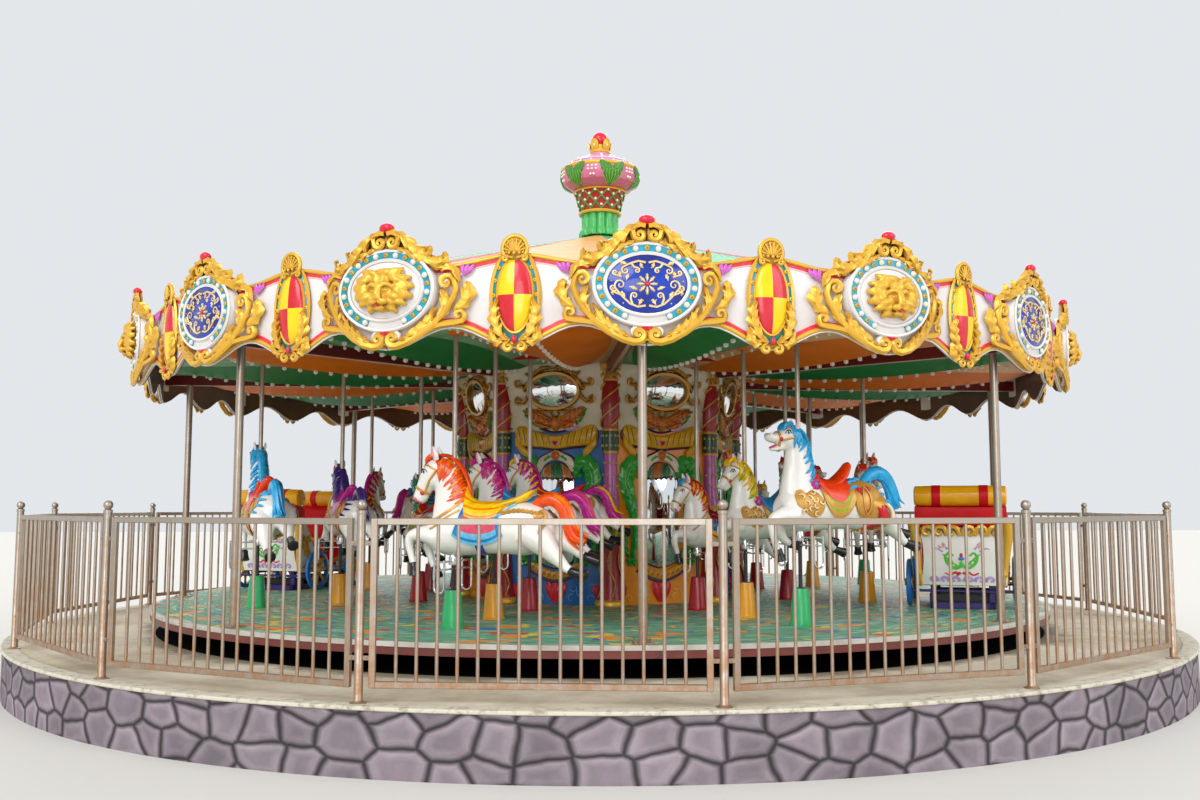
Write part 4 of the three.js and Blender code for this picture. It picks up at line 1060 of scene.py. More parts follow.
def board_and_shield():
    """One board with its shield, drawn with the board's face at depth 0."""
    xs = np.linspace(-board_half, board_half, 25)
    low = [(x, 2.775 - 0.075 * math.cos(2 * math.pi * x / board_half)) for x in xs]
    top = [(x, 3.285 + 0.075 * math.cos(min(abs(x) / board_half * 1.7, 1) * math.pi / 2) ** 2) for x in xs]
    shapes = [slab(low + top[::-1], 0.0, 0.02, board_white, 0.004),
        slab(low + top[::-1], 0.0205, BOARD_THICKNESS - 0.001, back_brown)]
    side_low = [[p for p in low if 0.12 < way * p[0] < 0.66 * board_half] for way in (-1, 1)]
    for line, shift, wide, deep, material in (
            (top, -0.01, 0.017, 0.017, bright_gold), (low, 0.018, 0.019, 0.019, bright_gold),
            (low, -0.004, 0.008, 0.008, board_white),
            (top, -0.036, 0.02, 0.003, line_red), (top, -0.052, 0.012, 0.002, line_pink),
            *((line, 0.05, 0.019, 0.003, line_red) for line in side_low),
            *((line, 0.064, 0.012, 0.002, line_pink) for line in side_low)):
        shapes.append(tube([(x, -0.002, z + shift) for x, z in line], (wide, deep), material,
            6 if wide == deep else 4, (0, -1, 0)))
    z0 = SHIELD_HEIGHT
    shapes += [slab(oval(0.168, 0.335, z0, 32), -0.022, 0.002, turquoise, 0.006),
        hoop(0.17, 0.338, z0, -0.018, 0.015, bright_gold, 32, 5)]
    pillow = ball((0, -0.022, z0 + 0.005), (0.126, 0.042, 0.262), quarter_yellow, 20, 10)
    quarters = []
    for face in pillow[1]:
        x, _, z = pillow[0][list(face)].mean(0)
        quarters.append(quarter_yellow if (x < 0) == (z > z0) else quarter_red)
    shapes += [(pillow[0], pillow[1], quarters), hoop(0.129, 0.266, z0 + 0.005, -0.024, 0.011, bright_gold, 30, 5)]
    half = carved(bright_gold, (
        # leaves that clasp the shield's foot, over a small volute each side
        (-30, 34, 5, (30, 2735, 22), (88, 2775, 46), (130, 2855, 54), (142, 2945, 42), (120, 3045, 4)),
        (-24, 28, 3, (60, 2745, 22), (112, 2738, 42), (155, 2775, 36), (168, 2850, 4)),
        (-34, 20, 12, (100, 2755), (50, 2755), (44, 2700, 40, 8, 1.5, -1.2)),
        # the shell's own volutes and flutes
        (-40, 13, 8, (12, 3325), (50, 3335), (66, 3318, 24, 5, 1.4, -1.2)),
        *((-50, 9, 8, *((round(reach * math.cos(t)), foot + round(rise * math.sin(t))) for reach, foot, rise in (
            (18, 3365, 0), (50, 3375, 50), (80, 3385, 75)))) for t in (1.36, 0.91, 0.45, 0.03))))
    for z in (3.255, 3.165, 3.06):
        x = 0.149 * math.sqrt(1 - ((z - z0) / 0.31) ** 2) + 0.002
        half += [ball((x, -0.026, z), (0.015, 0.01, 0.015), quarter_yellow, 8, 4),
            ball((x, -0.034, z), (0.007, 0.006, 0.007), stud_orange, 5, 4)]
    half.append(ball((0.036, -0.062, 3.352), 0.012, bright_gold, 6, 4))
    shapes += paired(half)
    shapes.append(ball((0, -0.026, 3.385), (0.082, 0.03, 0.088), old_gold, 16, 6))
    for reach, thick in ((1.0, 0.018), (0.74, 0.01)):
        arc = [(0.086 * reach * math.cos(t), 3.385 + 0.092 * reach * math.sin(t))
            for t in np.linspace(-0.5, math.pi + 0.5, 15)]
        shapes.append(tube(on_face(arc, -0.036 - 0.012 * (1 - reach)), thick, bright_gold, 6, (0, -1, 0)))
    return shapes + [ball((0, -0.066, 3.35), 0.014, bright_gold, 8, 5),
        ball((0, -0.05, 2.748), (0.02, 0.016, 0.028), gem_red, 10, 6)]


def bent(shape):
    """A frame's carving, bent back at its sides to lie along the two boards that meet behind it."""
    vertices, faces, material = shape
    back = 0.3 * np.maximum(np.abs(vertices[:, 0]) - 0.22, 0)
    return vertices + np.stack([0 * back, back, 0 * back], 1), faces, material


def medallion_frame():
    """The dish, lamp ring and carved frame of a medallion, about its middle with its face at depth 0."""
    shapes = [slab(oval(0.372, 0.292, 0, 44), -0.034, 0.055, board_white, 0.01),
        hoop(0.366, 0.286, 0, -0.034, 0.013, board_white, 40, 5),
        hoop(0.29, 0.216, 0, -0.038, 0.015, board_white, 36, 5)]
    turns = np.radians(np.linspace(-66, 246, 36))
    band = [(0.354 * math.cos(t), 0.275 * math.sin(t)) for t in turns] + [(0.304 * math.cos(t), 0.228 * math.sin(t))
        for t in turns[::-1]]
    shapes.append(slab(band, -0.04, -0.03, turquoise))
    for i in range(RING_LAMPS):
        t = math.radians(-62 + 304 * i / (RING_LAMPS - 1))
        x, z = 0.329 * math.cos(t), 0.2515 * math.sin(t)
        if i % 2:
            shapes += [ball((x, -0.043, z), (0.019, 0.011, 0.019), stud_yellow, 8, 4),
                ball((x, -0.051, z), (0.009, 0.007, 0.009), stud_orange, 5, 4)]
        else:
            shapes.append(ball((x, -0.044, z), (0.022, 0.02, 0.022), lamp_dome, 8, 5))
    half = carved(bright_gold, (
        # crown: a volute each side of the gem, with leaves that fall away along the dish
        (-46, 24, 13, (10, 408), (60, 412), (98, 382), (52, 342, 48, 8, 0.3, -1.35)),
        (-34, 38, 5, (40, 408, 22), (115, 385, 40), (180, 325, 58), (245, 272, 54), (305, 262, 36), (330, 305, 4)),
        (-40, 36, 4, (205, 272, 30), (290, 210, 50), (372, 190, 48), (424, 210, 32), (434, 262, 4)),
        (-32, 28, 4, (70, 300, 20), (160, 268, 34), (250, 215, 38), (330, 150, 4)),
        # side: a stem that sweeps up from the foot's volute to a curled head, with leaves on both sides
        (-36, 30, 13, (360, -245), (240, -335), (130, -392), (58, -346, 50, 8, -1.5, -1.3)),
        (-36, 27, 13, (260, -318), (370, -235), (455, -125), (503, -20), (440, 45, 60, 10, -0.3, 1.3)),
        (-30, 24, 12, (350, -262), (420, -246), (525, -185, 46, 8, -1.5, 1.15)),
        (-20, 32, 3, (480, -160, 24), (548, -105, 50), (575, -35, 56), (572, 55, 4)),
        (-26, 30, 3, (530, 40, 14), (490, 128, 38), (425, 155, 38), (335, 150, 4)),
        (-26, 30, 3, (370, -240, 18), (420, -155, 46), (430, -80, 42), (402, 10, 4)),
        (-30, 30, 5, (110, -370, 14), (205, -318, 36), (300, -245, 42), (370, -125, 4))))
    half += carved(tulip_pink, ((-6, 5, 4, (505, 55), (525, 85), (545, 105)),
        *((-8, 10, 1, (545, 100, 12), (560 + lean, 135, 18), (575 + 1.6 * lean, 180, 3)) for lean in (-24, 0, 24))))
    plate = [(0, 425), (60, 425), (135, 375), (200, 305), (260, 265), (330, 245), (400, 225), (405, 175), (340, 160),
        (240, 200), (120, 260), (0, 270)]
    half.append(slab(np.array(plate) / 1000, -0.024, 0.0, old_gold, 0.006))
    shapes += paired([bent(shape) for shape in half])
    shapes += [ball((0, -0.034, 0.448), (0.058, 0.042, 0.036), gem_red, 14, 7),
        slab(oval(0.115, 0.062, -0.325, 20), -0.03, 0.0, board_white, 0.006)]
    return shapes + carved(gem_red, [(-36, 12, 1, (0, -320, 3), (0.6 * lean, -305, 9),
        (lean, -285 - abs(lean) * 0.3, 2)) for lean in (-40, 40, -20, 20, 0)], 0.2)


def lion_mask():
    """A gilded lion's mask: a broad frowning face in a ruff of thick locks that curl outwards."""
    gold = bright_gold
    rough = [ball((0, -0.055, 0), (0.16, 0.036, 0.15), gold, 20, 12),
             ball((0, -0.088, -0.02), (0.094, 0.05, 0.11), gold, 20, 12),
             ball((0, -0.112, 0.056), (0.066, 0.03, 0.04), gold),
             ball((0, -0.122, -0.128), (0.036, 0.024, 0.022), gold),
             tube(smooth([(0, -0.128, 0.046), (0, -0.146, 0.0), (0, -0.166, -0.058)], 6), np.linspace(0.017, 0.027, 6),
                 gold, 10, (0, -1, 0)),
             ball((0, -0.172, -0.066), (0.034, 0.014, 0.016), gold)]
    for side in (-1, 1):
        for ring, (near, far, thick, turns) in enumerate(((0.098, 0.19, 0.019, np.arange(-78, 90, 21)),
                (0.08, 0.152, 0.015, np.arange(-68, 86, 21)))):
            for number, turn in enumerate(np.radians(turns)):
                share = np.linspace(0, 1, 10)
                way = 1 if turn > -0.2 else -0.6
                bend = turn - (0.42 - 0.1 * ring) * np.sin(math.pi * share * 0.62) * way + 0.05 * (number % 2)
                reach = near + (far - near) * share ** 0.8
                depth = -0.084 - 0.022 * ring - 0.026 * np.sin(math.pi * share) + 0.03 * share - 0.006 * (number % 2)
                rows = np.stack([side * reach * np.cos(bend) * 1.04, depth, reach * np.sin(bend) * 0.93 + 0.004], 1)
                rough.append(tube(rows, 0.005 + thick * np.sin(math.pi * (0.12 + 0.8 * share)), gold, 8, (0, -1, 0)))
        brow = smooth([(side * 0.012, -0.146, 0.006), (side * 0.044, -0.148, 0.026), (side * 0.086, -0.112, 0.008)], 7)
        frown = smooth([(side * 0.014, -0.132, 0.028), (side * 0.026, -0.138, 0.058), (side * 0.02, -0.12, 0.09)], 6)
        rough += [tube(brow, 0.015, gold, 8, (0, -1, 0)), tube(frown, 0.01, gold, 8, (0, -1, 0)),
                  ball((side * 0.031, -0.15, -0.092), (0.036, 0.026, 0.024), gold),
                  ball((side * 0.07, -0.112, -0.052), (0.03, 0.026, 0.036), gold),
                  ball((side * 0.043, -0.132, -0.016), (0.02, 0.011, 0.009), gold)]
    points, loops = moulded(rough, 0.005, 3300, 1)
    plate = slab(oval(0.276, 0.203, 0, 36), -0.044, -0.03, board_white, 0.006)
    tongue = ball((0, -0.157, -0.119), (0.038, 0.01, 0.006), gem_red, 10, 6)
    return [plate, (points * (1.17, 1, 1.06), loops, gold), tongue]


def blue_ornament():
    """A glossy blue oval with a plain gold rosette between scrolled sprigs."""
    half = carved(pale_gold, (
        (-46, 8.5, 3.5, (12, -150), (75, -158), (135, -125), (185, -70), (185, -8, 42, 4, -0.6, 1.35)),
        (-46, 8, 3.5, (100, -145), (115, -100), (88, -82, 26, 4, -0.5, 1.3)),
        (-46, 8, 3.5, (185, -75), (222, -60), (235, -28, 20, 4, -1.2, 1.2)),
        (-46, 8.5, 3.5, (10, 148), (70, 158), (125, 135), (150, 92, 30, 4, 1.3, -1.3)),
        (-46, 8, 3.5, (110, 140), (85, 112), (70, 92, 20, 4, 1.6, 1.2)),
        (-46, 8, 3.5, (175, 48), (205, 58), (222, 78, 17, 4, -1.4, 1.2)),
        *((-45, 10, 2, (x, z, 6), (x + 0.5 * long * math.cos(turn), z + 0.5 * long * math.sin(turn) + 4, 15),
            (x + long * math.cos(turn), z + long * math.sin(turn), 2)) for x, z, turn, long in (
            (150, -105, 1.05, 60), (205, -45, 5.76, 50), (135, 130, 0.35, 55), (125, -20, 3.5, 60), (145, 20, 1.9, 50),
            (60, -150, 2.1, 50), (195, 45, 1.9, 40), (50, 150, 4.4, 40)))))
    half += [ball((x / 1000, -0.046, z / 1000), (0.0055, 0.005, 0.0055), pale_gold, 5, 4)
        for x, z in ((30, -115), (60, -112), (30, 112), (247, 20), (235, -75), (175, 135), (165, -135))]
    petals = carved(pale_gold, [(-45, 10, 2, *((r * math.cos(t), r * math.sin(t), wide)
        for r, wide in ((14, 6), (46, 14), (74, 2)))) for t in np.arange(8) * math.pi / 4])
    field = slab(oval(0.277, 0.204, 0, 36), -0.044, -0.03, field_blue, 0.006)
    gem = ball((0, -0.048, 0), (0.016, 0.012, 0.016), gem_red, 10, 6)
    return [field, *paired(half), *petals, gem]


board_shapes, frame_shapes = board_and_shield(), medallion_frame()
lion_shapes, blue_shapes = lion_mask(), blue_ornament()
for bay in range(8):
    start = bay * BAY_ANGLE
    shapes = []
    for half_bay in (0.5, 1.5):
        shapes += spread(board_shapes, start + half_bay * GORE_ANGLE, BOARD_APOTHEM)
    for corner, centre_shapes in ((1, lion_shapes), (2, blue_shapes)):
        shapes += spread(frame_shapes + centre_shapes, start + corner * GORE_ANGLE, corner_radius + 0.01,
            MEDALLION_HEIGHT)
    piece(f"board_{bay + 1}", shapes, "turntable", [f"rounding_board_{bay + 1}"], 62)

# The finial: turned and moulded glass fibre. A fluted green neck, a red basket under green lattice,
# a pink bowl with leaves and a domed lid with a gold crown and a red ball, studded with lamps.
finial_green = moulded_gloss("light_green_neck_gloss", "#4fb860", "#2f8a44", 0.25, 8.0, 0.6)
basket_red = moulded_gloss("red_basket_gloss", "#b01a20", "#7a1016", 0.3)
lattice_green = moulded_gloss("lattice_green_gloss", "#4a8c2c", "#2c6a1c", 0.3)
bowl_pink = moulded_gloss("pink_bowl_gloss", "#d8749c", "#b85480", 0.25, 6.0, 0.5)
lid_pink = moulded_gloss("lilac_pink_lid_gloss", "#dc86c4", "#c468a4", 0.25, 6.0, 0.5)


def fluted(profile, flutes, depth, material, segments=96):
    """A turned shape whose wall is pressed in between its flutes."""
    vertices, faces, _ = turned(profile, material, segments)
    turn = np.arctan2(vertices[:, 0], -vertices[:, 1])
    radius = np.hypot(vertices[:, 0], vertices[:, 1])
    press = 1 - depth * (1 - np.abs(np.cos(turn * flutes / 2))) ** 2 / np.maximum(radius, 0.05)
    return vertices * np.stack([press, press, np.ones(len(press))], 1), faces, material


BASKET_WALL = [(0.214, 4.836), (0.236, 4.92), (0.262, 5.02), (0.282, 5.06)]
basket = [fluted([(0.232, 4.561), (0.236, 4.59), (0.225, 4.625), (0.205, 4.65), (0.205, 4.8), (0.215, 4.81)], 12,
    0.03, finial_green)]
basket += [turned(profile, material, 40) for material, *profile in (
    (bright_gold, (0.232, 4.808), (0.24, 4.822), (0.232, 4.838)), (basket_red, *BASKET_WALL),
    (bright_gold, (0.292, 5.052), (0.3, 5.064), (0.292, 5.076)),
    (bowl_pink, (0.285, 5.074), (0.345, 5.105), (0.398, 5.139)))]


def basket_radius(z):
    """Radius of the basket's wall at a height."""
    return float(np.interp(z, [height for _, height in BASKET_WALL], [radius for radius, _ in BASKET_WALL]))


for strand in range(12):
    for way in (-1, 1):
        path = []
        for share in np.linspace(0, 1, 8):
            z = 4.842 + 0.21 * share
            turn = 2 * math.pi * strand / 12 + way * share * 2 * math.pi / 8
            path.append(((basket_radius(z) + 0.004) * math.sin(turn), -(basket_radius(z) + 0.004) * math.cos(turn), z))
        basket.append(tube(path, 0.009, lattice_green, 6, (0, 0, 1)))
for z, shift in ((4.885, 0), (4.945, 0.5), (5.005, 0), (5.04, 0.5)):
    for lamp in range(12):
        turn = 2 * math.pi * (lamp + shift) / 12
        basket.append(placed(ball((0, 0, z), 0.016, lamp_dome, 8, 6), turn, basket_radius(z) + 0.006))
piece("finial_basket_lattice", basket, "turntable", ["finial_basket"])

dome = [
    turned([(0.4, 5.1405), (0.428, 5.2), (0.43, 5.285)], bowl_pink, 56),
    turned([(0.425, 5.283), (0.435, 5.298), (0.434, 5.316), (0.422, 5.328)], bright_gold, 56),
    turned([(0.41, 5.326), (0.345, 5.37), (0.325, 5.395), (0.29, 5.405), (0.215, 5.445), (0.145, 5.48), (0.11, 5.51)],
        lid_pink, 56),
    ring_of([(0.345, 5.372), (0.351, 5.378), (0.29, 5.411), (0.284, 5.405)], board_white, 56),
    turned([(0.112, 5.508), (0.118, 5.52), (0.105, 5.545), (0.1, 5.6)], bright_gold, 24),
    ball((0, 0, 5.668), (0.09, 0.09, 0.0965), gem_red, 20, 12),
]
for petal in range(5):
    angle = 2 * math.pi * (petal + 0.5) / 5
    rows = smooth([(0, 0, 5.53, 0.04), (0, -0.02, 5.59, 0.052), (0, -0.03, 5.64, 0.04), (0, -0.048, 5.66, 0.012)], 9)
    crown = tube(rows[:, :3], np.stack([rows[:, 3], rows[:, 3] * 0.3], 1), bright_gold, 8, (0, -1, 0))
    dome.append(placed(crown, angle, 0.092))
    dome.append(placed(ball((0, -0.014, 5.595), 0.019, lamp_dome, 10, 6), angle, 0.1))
# broad ribbed leaves that lie on the bowl's flare, with lamps between them
leaf_ribs = [((0.0, 5.1), (0.0, 5.25))] + [((0.35 * x, 5.095), (x, 5.16), (0.8 * x, 5.225))
    for x in (-0.1, -0.066, -0.034, 0.034, 0.066, 0.1)]
leaf_shapes = [frond([(0, 5.078, 0.07), (0, 5.12, 0.115), (0, 5.17, 0.134), (0, 5.215, 0.118), (0, 5.262, 0.03)], 0.0,
    0.012, lattice_green, 6, 0.12)]
leaf_shapes += [scroll(line, -0.009, 0.0045, 0.003, 0.9, vein_light, 7, 5) for line in leaf_ribs]
for leaf_number in range(6):
    angle = 2 * math.pi * leaf_number / 6 + 0.25
    for points, faces, material in leaf_shapes:
        out = np.interp(points[:, 2], [5.07, 5.139, 5.2, 5.27], [0.285, 0.4, 0.428, 0.432]) + 0.004
        reach = out - points[:, 1]
        turn = points[:, 0] / 0.4
        wrapped_leaf = np.stack([reach * np.sin(turn), -reach * np.cos(turn), points[:, 2]], 1)
        dome.append(placed((wrapped_leaf, faces, material), angle))
    for side in (-1, 0, 1):
        for height, out in ((5.17, 0.422), (5.225, 0.43), (5.26, 0.43)):
            if side or height > 5.2:
                turn = angle + math.pi / 6 + side * (0.04 if height < 5.2 else 0.1)
                dome.append(placed(ball((0, 0, height), 0.015, lamp_dome, 8, 6), turn, out))
for radius, height, count in ((0.395, 5.338, 20), (0.32, 5.4, 14), (0.205, 5.453, 10)):
    for lamp in range(count):
        dome.append(placed(ball((0, 0, height), 0.015, lamp_dome, 8, 6), 2 * math.pi * lamp / count, radius))
piece("finial_bowl_and_lid", dome, "turntable", ["finial_dome"])

# The chariots: a moulded glass-fibre coach body with two facing benches, on a purple steel base
# with four spoked wheels, gold side scrolls, painted end panels and yellow bolsters.
CHARIOT_RADIUS = ROW_RADII["outer"] + 0.14
AXLE_HEIGHT = FLOOR_TOP + 0.228
coach_white = moulded_gloss("white_coach_gloss", "#efece6", "#cdc6ba", 0.28, 4.0, 0.4)
bolster_yellow = moulded_gloss("yellow_bolster_gloss", "#f4b010", "#cc8408", 0.25, 5.0, 0.5)
bolster_red = moulded_gloss("red_band_gloss", "#d2141c", "#9a0c14", 0.4, 6.0, 0.5, 0.05, 0.15)
lilac = moulded_gloss("lilac_scroll_gloss", "#b496cc", "#9476b4", 0.3)
petal_red = moulded_gloss("red_ribbon_gloss", "#cc2430", "#a01824", 0.3)
stem_green = moulded_gloss("bright_stem_gloss", "#5cc040", "#3c962a", 0.3)
base_purple = moulded_gloss("purple_base_enamel", "#33206c", "#20144a", 0.35, 6.0, 0.5)
rim_blue = moulded_gloss("blue_rim_gloss", "#1c78c8", "#12549a", 0.3)
harness_gold = gold_finish("harness_gold_lacquer", "#cf9a45", "#8a5a1e", 0.3, 0.32)


def on_axle(shape, x, y, side=1):
    """A turned shape laid on its side at a wheel's place."""
    return shape[0][:, [0, 2, 1]] * (1, side, 1) + (x, y, AXLE_HEIGHT), shape[1], shape[2]


def wheel(x, y, side):
    """A moulded wheel: blue tyre, gold spokes and hub."""
    tyre = ring_of([(0.178, -0.022), (0.205, -0.022), (0.2245, -0.012), (0.2245, 0.012), (0.205, 0.022),
        (0.178, 0.022)], rim_blue, 32)
    hub = turned([(0.045, -0.03), (0.052, -0.01), (0.052, 0.02), (0.03, 0.045)], harness_gold, 18)
    shapes = [on_axle(tyre, x, y), on_axle(hub, x, y, side)]
    for t in np.arange(8) * math.pi / 4:
        path = [(x + r * math.cos(t), y, AXLE_HEIGHT + r * math.sin(t)) for r in (0.035, 0.08, 0.13, 0.18)]
        shapes.append(tube(path, [(0.017, 0.012), (0.022, 0.013), (0.017, 0.011), (0.026, 0.012)],
            harness_gold, 7, (0, 1, 0)))
    return shapes


def end_face(y, z, out=0.0):
    """A point on the bowed white end of the coach, or a little out from it."""
    bow = 0.035 * np.sin(math.pi * (z - 0.87) / 0.53)
    return np.stack([0.63 + bow + 0.05 * (z - 0.87) - 0.02 * (y / 0.36) ** 2 + out, y, z], -1)


def brushed(material, *strokes):
    """Painted strokes on the end panel, from (y, z) millimetres, both ways from its middle."""
    shapes = []
    for wide, narrow, *points in strokes:
        count = 3 * len(points) - 1
        y, z = (smooth(points, count) / 1000).T
        size = np.stack([np.linspace(wide, narrow, count) * 0.0016, np.full(count, 0.004)], 1)
        shapes += [tube(end_face(side * y, z, 0.002), size, material, 5, (1, 0, 0)) for side in (-1, 1)]
    return shapes


def end_panel():
    """A bowed white end with painted flowers, gold posts, a red shoulder and a banded bolster."""
    levels, across = np.meshgrid(np.linspace(0.87, 1.4, 9), np.linspace(-1, 1, 13), indexing="ij")
    half = 0.365 - 0.03 * np.sin(math.pi * (levels - 0.87) / 0.53)
    shapes = [shell(end_face(across * half, levels), end_face(across * half, levels, -0.03), coach_white)]
    shapes += brushed(stem_green, (12, 6, (0, 1060), (50, 1030), (110, 1060), (140, 1120), (110, 1170), (70, 1140)),
                      (16, 10, (-2, 1075), (20, 1075)),
                      *((11, 2, (y, z), (y + 12, z + 28), (y + 34, z + 34))
                          for y, z in ((40, 1035), (72, 1063), (104, 1091), (136, 1119))))
    shapes += brushed(petal_red, (9, 4, (20, 975), (60, 990), (100, 965), (150, 985)),
        (9, 4, (10, 990), (40, 965), (35, 955)), (10, 8, (0, 1130), (2, 1165)))
    shapes += brushed(lilac, (6, 2, (160, 1180), (220, 1210), (250, 1200)),
                      *((9, 3, (y, z), (y + 20, z + 30)) for y, z in ((120, 1200), (180, 1210), (145, 1235))),
                      *((12, 5, (y - 40, 905), (y - 30, 935), (y, 945), (y + 28, 930), (y + 18, 908), (y, 915))
                          for y in (60, 155, 250)))
    shapes += brushed(bolster_yellow, (9, 3, (150, 1215), (170, 1245)))
    shapes += brushed(rim_blue, (12, 8, (-2, 1115), (26, 1115)))
    for s in (-1, 1):
        # gold posts, which bow out from the base to the shoulder, and the scrolls between them
        post = smooth([(0.6, s * 0.36, 0.86), (0.625, s * 0.378, 1.0), (0.655, s * 0.398, 1.2), (0.69, s * 0.415, 1.36),
            (0.7, s * 0.415, 1.47)], 12)
        shapes.append(tube(post, np.stack([np.linspace(0.018, 0.055, 12), np.linspace(0.016, 0.06, 12)], 1),
            bright_gold, 10))
        for y in (0.03, 0.14, 0.25):
            line = [(0.672, y - 0.02, 1.335), (0.69, y + 0.01, 1.4), (0.69, y + 0.07, 1.405), (0.685, y + 0.085, 1.355),
                (0.682, y + 0.045, 1.335), (0.69, y + 0.035, 1.37)]
            shapes.append(tube(smooth(line, 13) * (1, s, 1), np.linspace(0.028, 0.014, 13), bright_gold, 7, (1, 0, 0)))
    # red shoulder: a bar of moulded section right across under the bolster
    section = [(0.6, 1.4), (0.705, 1.42), (0.735, 1.5), (0.725, 1.585), (0.62, 1.6), (0.565, 1.55), (0.56, 1.45)]
    shapes.append(slab(section, -0.405, 0.405, bolster_red))
    steps = np.array([-0.41, -0.4, -0.25, -0.249, -0.17, -0.169, 0.169, 0.17, 0.249, 0.25, 0.4, 0.41])
    radii = [0.075, 0.092, 0.096, 0.101, 0.101, 0.096, 0.096, 0.101, 0.101, 0.096, 0.092, 0.075]
    points, loops, _ = tube([(0.64, y, 1.692) for y in steps], radii, bolster_yellow, 24, (0, 0, 1))
    paints = [bolster_red if 0.17 <= abs(points[list(loop), 1].mean()) <= 0.25 else bolster_yellow for loop in loops]
    # bench, cushion and back, inside
    return shapes + [(points, loops, paints), block(0.3, 0.74, 0.3, 0.42, 0, 0.87, bolster_red, 0.02),
                     block(0.27, 0.7, 0.05, 0.41, 0, 1.165, bolster_yellow, 0.02),
                     block(0.06, 0.74, 0.5, 0.585, 0, 1.0, bolster_red, 0.015)]


def coach_side():
    """A white side with a gold rail along its waved top and gold scrolls on its face."""
    wave = [(0, 945), (240, 990), (340, 1120), (450, 1300), (550, 1420), (655, 1380), (630, 1100), (600, 870),
        (300, 855), (0, 850)]
    outline = smooth(np.array(wave + [(-x, z) for x, z in wave[-2::-1]]) / 1000, 73)[:-1]
    rail = sorted((x, z) for x, z in outline if z > 0.93)
    shapes = [slab(outline, -0.398, -0.352, coach_white, 0.008), tube(on_face(rail, -0.378), 0.024, bright_gold, 8)]
    half = carved(bright_gold, (
        (-398, 20, 10, (200, 930), (340, 960), (460, 1080), (500, 1200), (455, 1220, 45, 8, 0.0, 1.3)),
        (-398, 16, 9, (580, 900), (500, 930), (460, 965, 35, 8, -1.2, -1.2)),
        (-398, 30, 6, (280, 930, 14), (400, 990, 40), (500, 1080, 46), (565, 1180, 36), (580, 1275, 4))))
    half += carved(lilac, ((-398, 12, 6, (60, 895), (140, 885), (220, 895), (300, 885)),))
    half += carved(petal_red, [(-398, 10, 1, (90, 900, 4), (90 + lean * 0.6, 920, 11), (90 + lean, 945, 2))
        for lean in (-30, 0, 30)], 0.2)
    return shapes + paired(half) + [ball((0, -0.398, 0.905), (0.022, 0.012, 0.022), bolster_yellow, 10, 6)]


coach = [(p * (way, way, 1), f, m) for way in (1, -1) for p, f, m in coach_side() + end_panel()]
coach += [block(1.16, 0.74, 0.03, 0, 0, 0.862, base_purple, 0.006),
    block(0.5, 0.7, 0.02, 0, 0, 0.888, deck_paint, 0.004)]
for way in (-1, 1):
    coach += [block(1.18, 0.06, 0.06, 0, way * 0.26, FLOOR_TOP + 0.0005, base_purple, 0.004),
              block(1.14, 0.05, 0.035, 0, way * 0.26, 0.832, base_purple, 0.004),
              block(0.06, 0.58, 0.06, way * 0.56, 0, FLOOR_TOP + 0.0005, base_purple, 0.004),
              block(0.04, 0.9, 0.024, way * 0.56, 0, 0.8, base_purple, 0.004),
              block(0.05, 0.6, 0.09, way * 0.42, 0, FLOOR_TOP + 0.04, black_iron, 0.004),
              *(block(0.05, 0.05, 0.15, way * 0.53, y, FLOOR_TOP + 0.05, base_purple, 0.004) for y in (-0.26, 0.26)),
              tube([(way * 0.4, -0.5, AXLE_HEIGHT), (way * 0.4, 0.5, AXLE_HEIGHT)], 0.018, black_iron, 12, (0, 0, 1))]
    for side in (-1, 1):
        coach += wheel(way * 0.4, side * 0.482, side)
# the prow: a gold scroll with a red ball, on the leading end of the left chariot alone
prow = [tube(smooth([(0.66, 0, 1.42), (0.76, 0, 1.46), (0.8, 0, 1.54), (0.755, 0, 1.6), (0.715, 0, 1.555),
    (0.745, 0, 1.525)], 22), np.linspace(0.034, 0.016, 22), bright_gold, 10),
        ball((0.775, 0, 1.645), 0.034, gem_red, 12, 8)]
for number, bay in enumerate(CHARIOT_BAYS, 1):
    shapes = [placed((p * (-1, -1, 1), f, m), (bay - 1.5) * BAY_ANGLE, CHARIOT_RADIUS)
        for p, f, m in coach + (prow if number == 2 else [])]
    piece(f"chariot_{number}_coach", shapes, "turntable", [f"chariot_{number}"])

# The horses: laid-up glass-fibre figures with a sprayed white gloss and brush-painted harness, each
# clamped to a stainless rod that jumps in its guide. There are three moulds and eight sets of paint.
BELLY_HEIGHT = 1.305
ROD_FOOT = 0.79
POLE_TOP = 3.23
POLE_RADIUS = 0.02
JUMP = 0.09
ROW_SCALES = {"outer": 1.0, "middle": 0.88, "inner": 0.8}
VOXEL = 0.012
FIGURE_FACES = 4500
FOOTREST_REACH = 0.245
FOOTREST_DEPTH = 0.25
HAIRPIN_HALF = 0.042

horse_white, shader, place = painted("sprayed_white_horse_gloss", "#ece8e2", 0.25, Coat_Weight=0.4, Coat_Roughness=0.1)
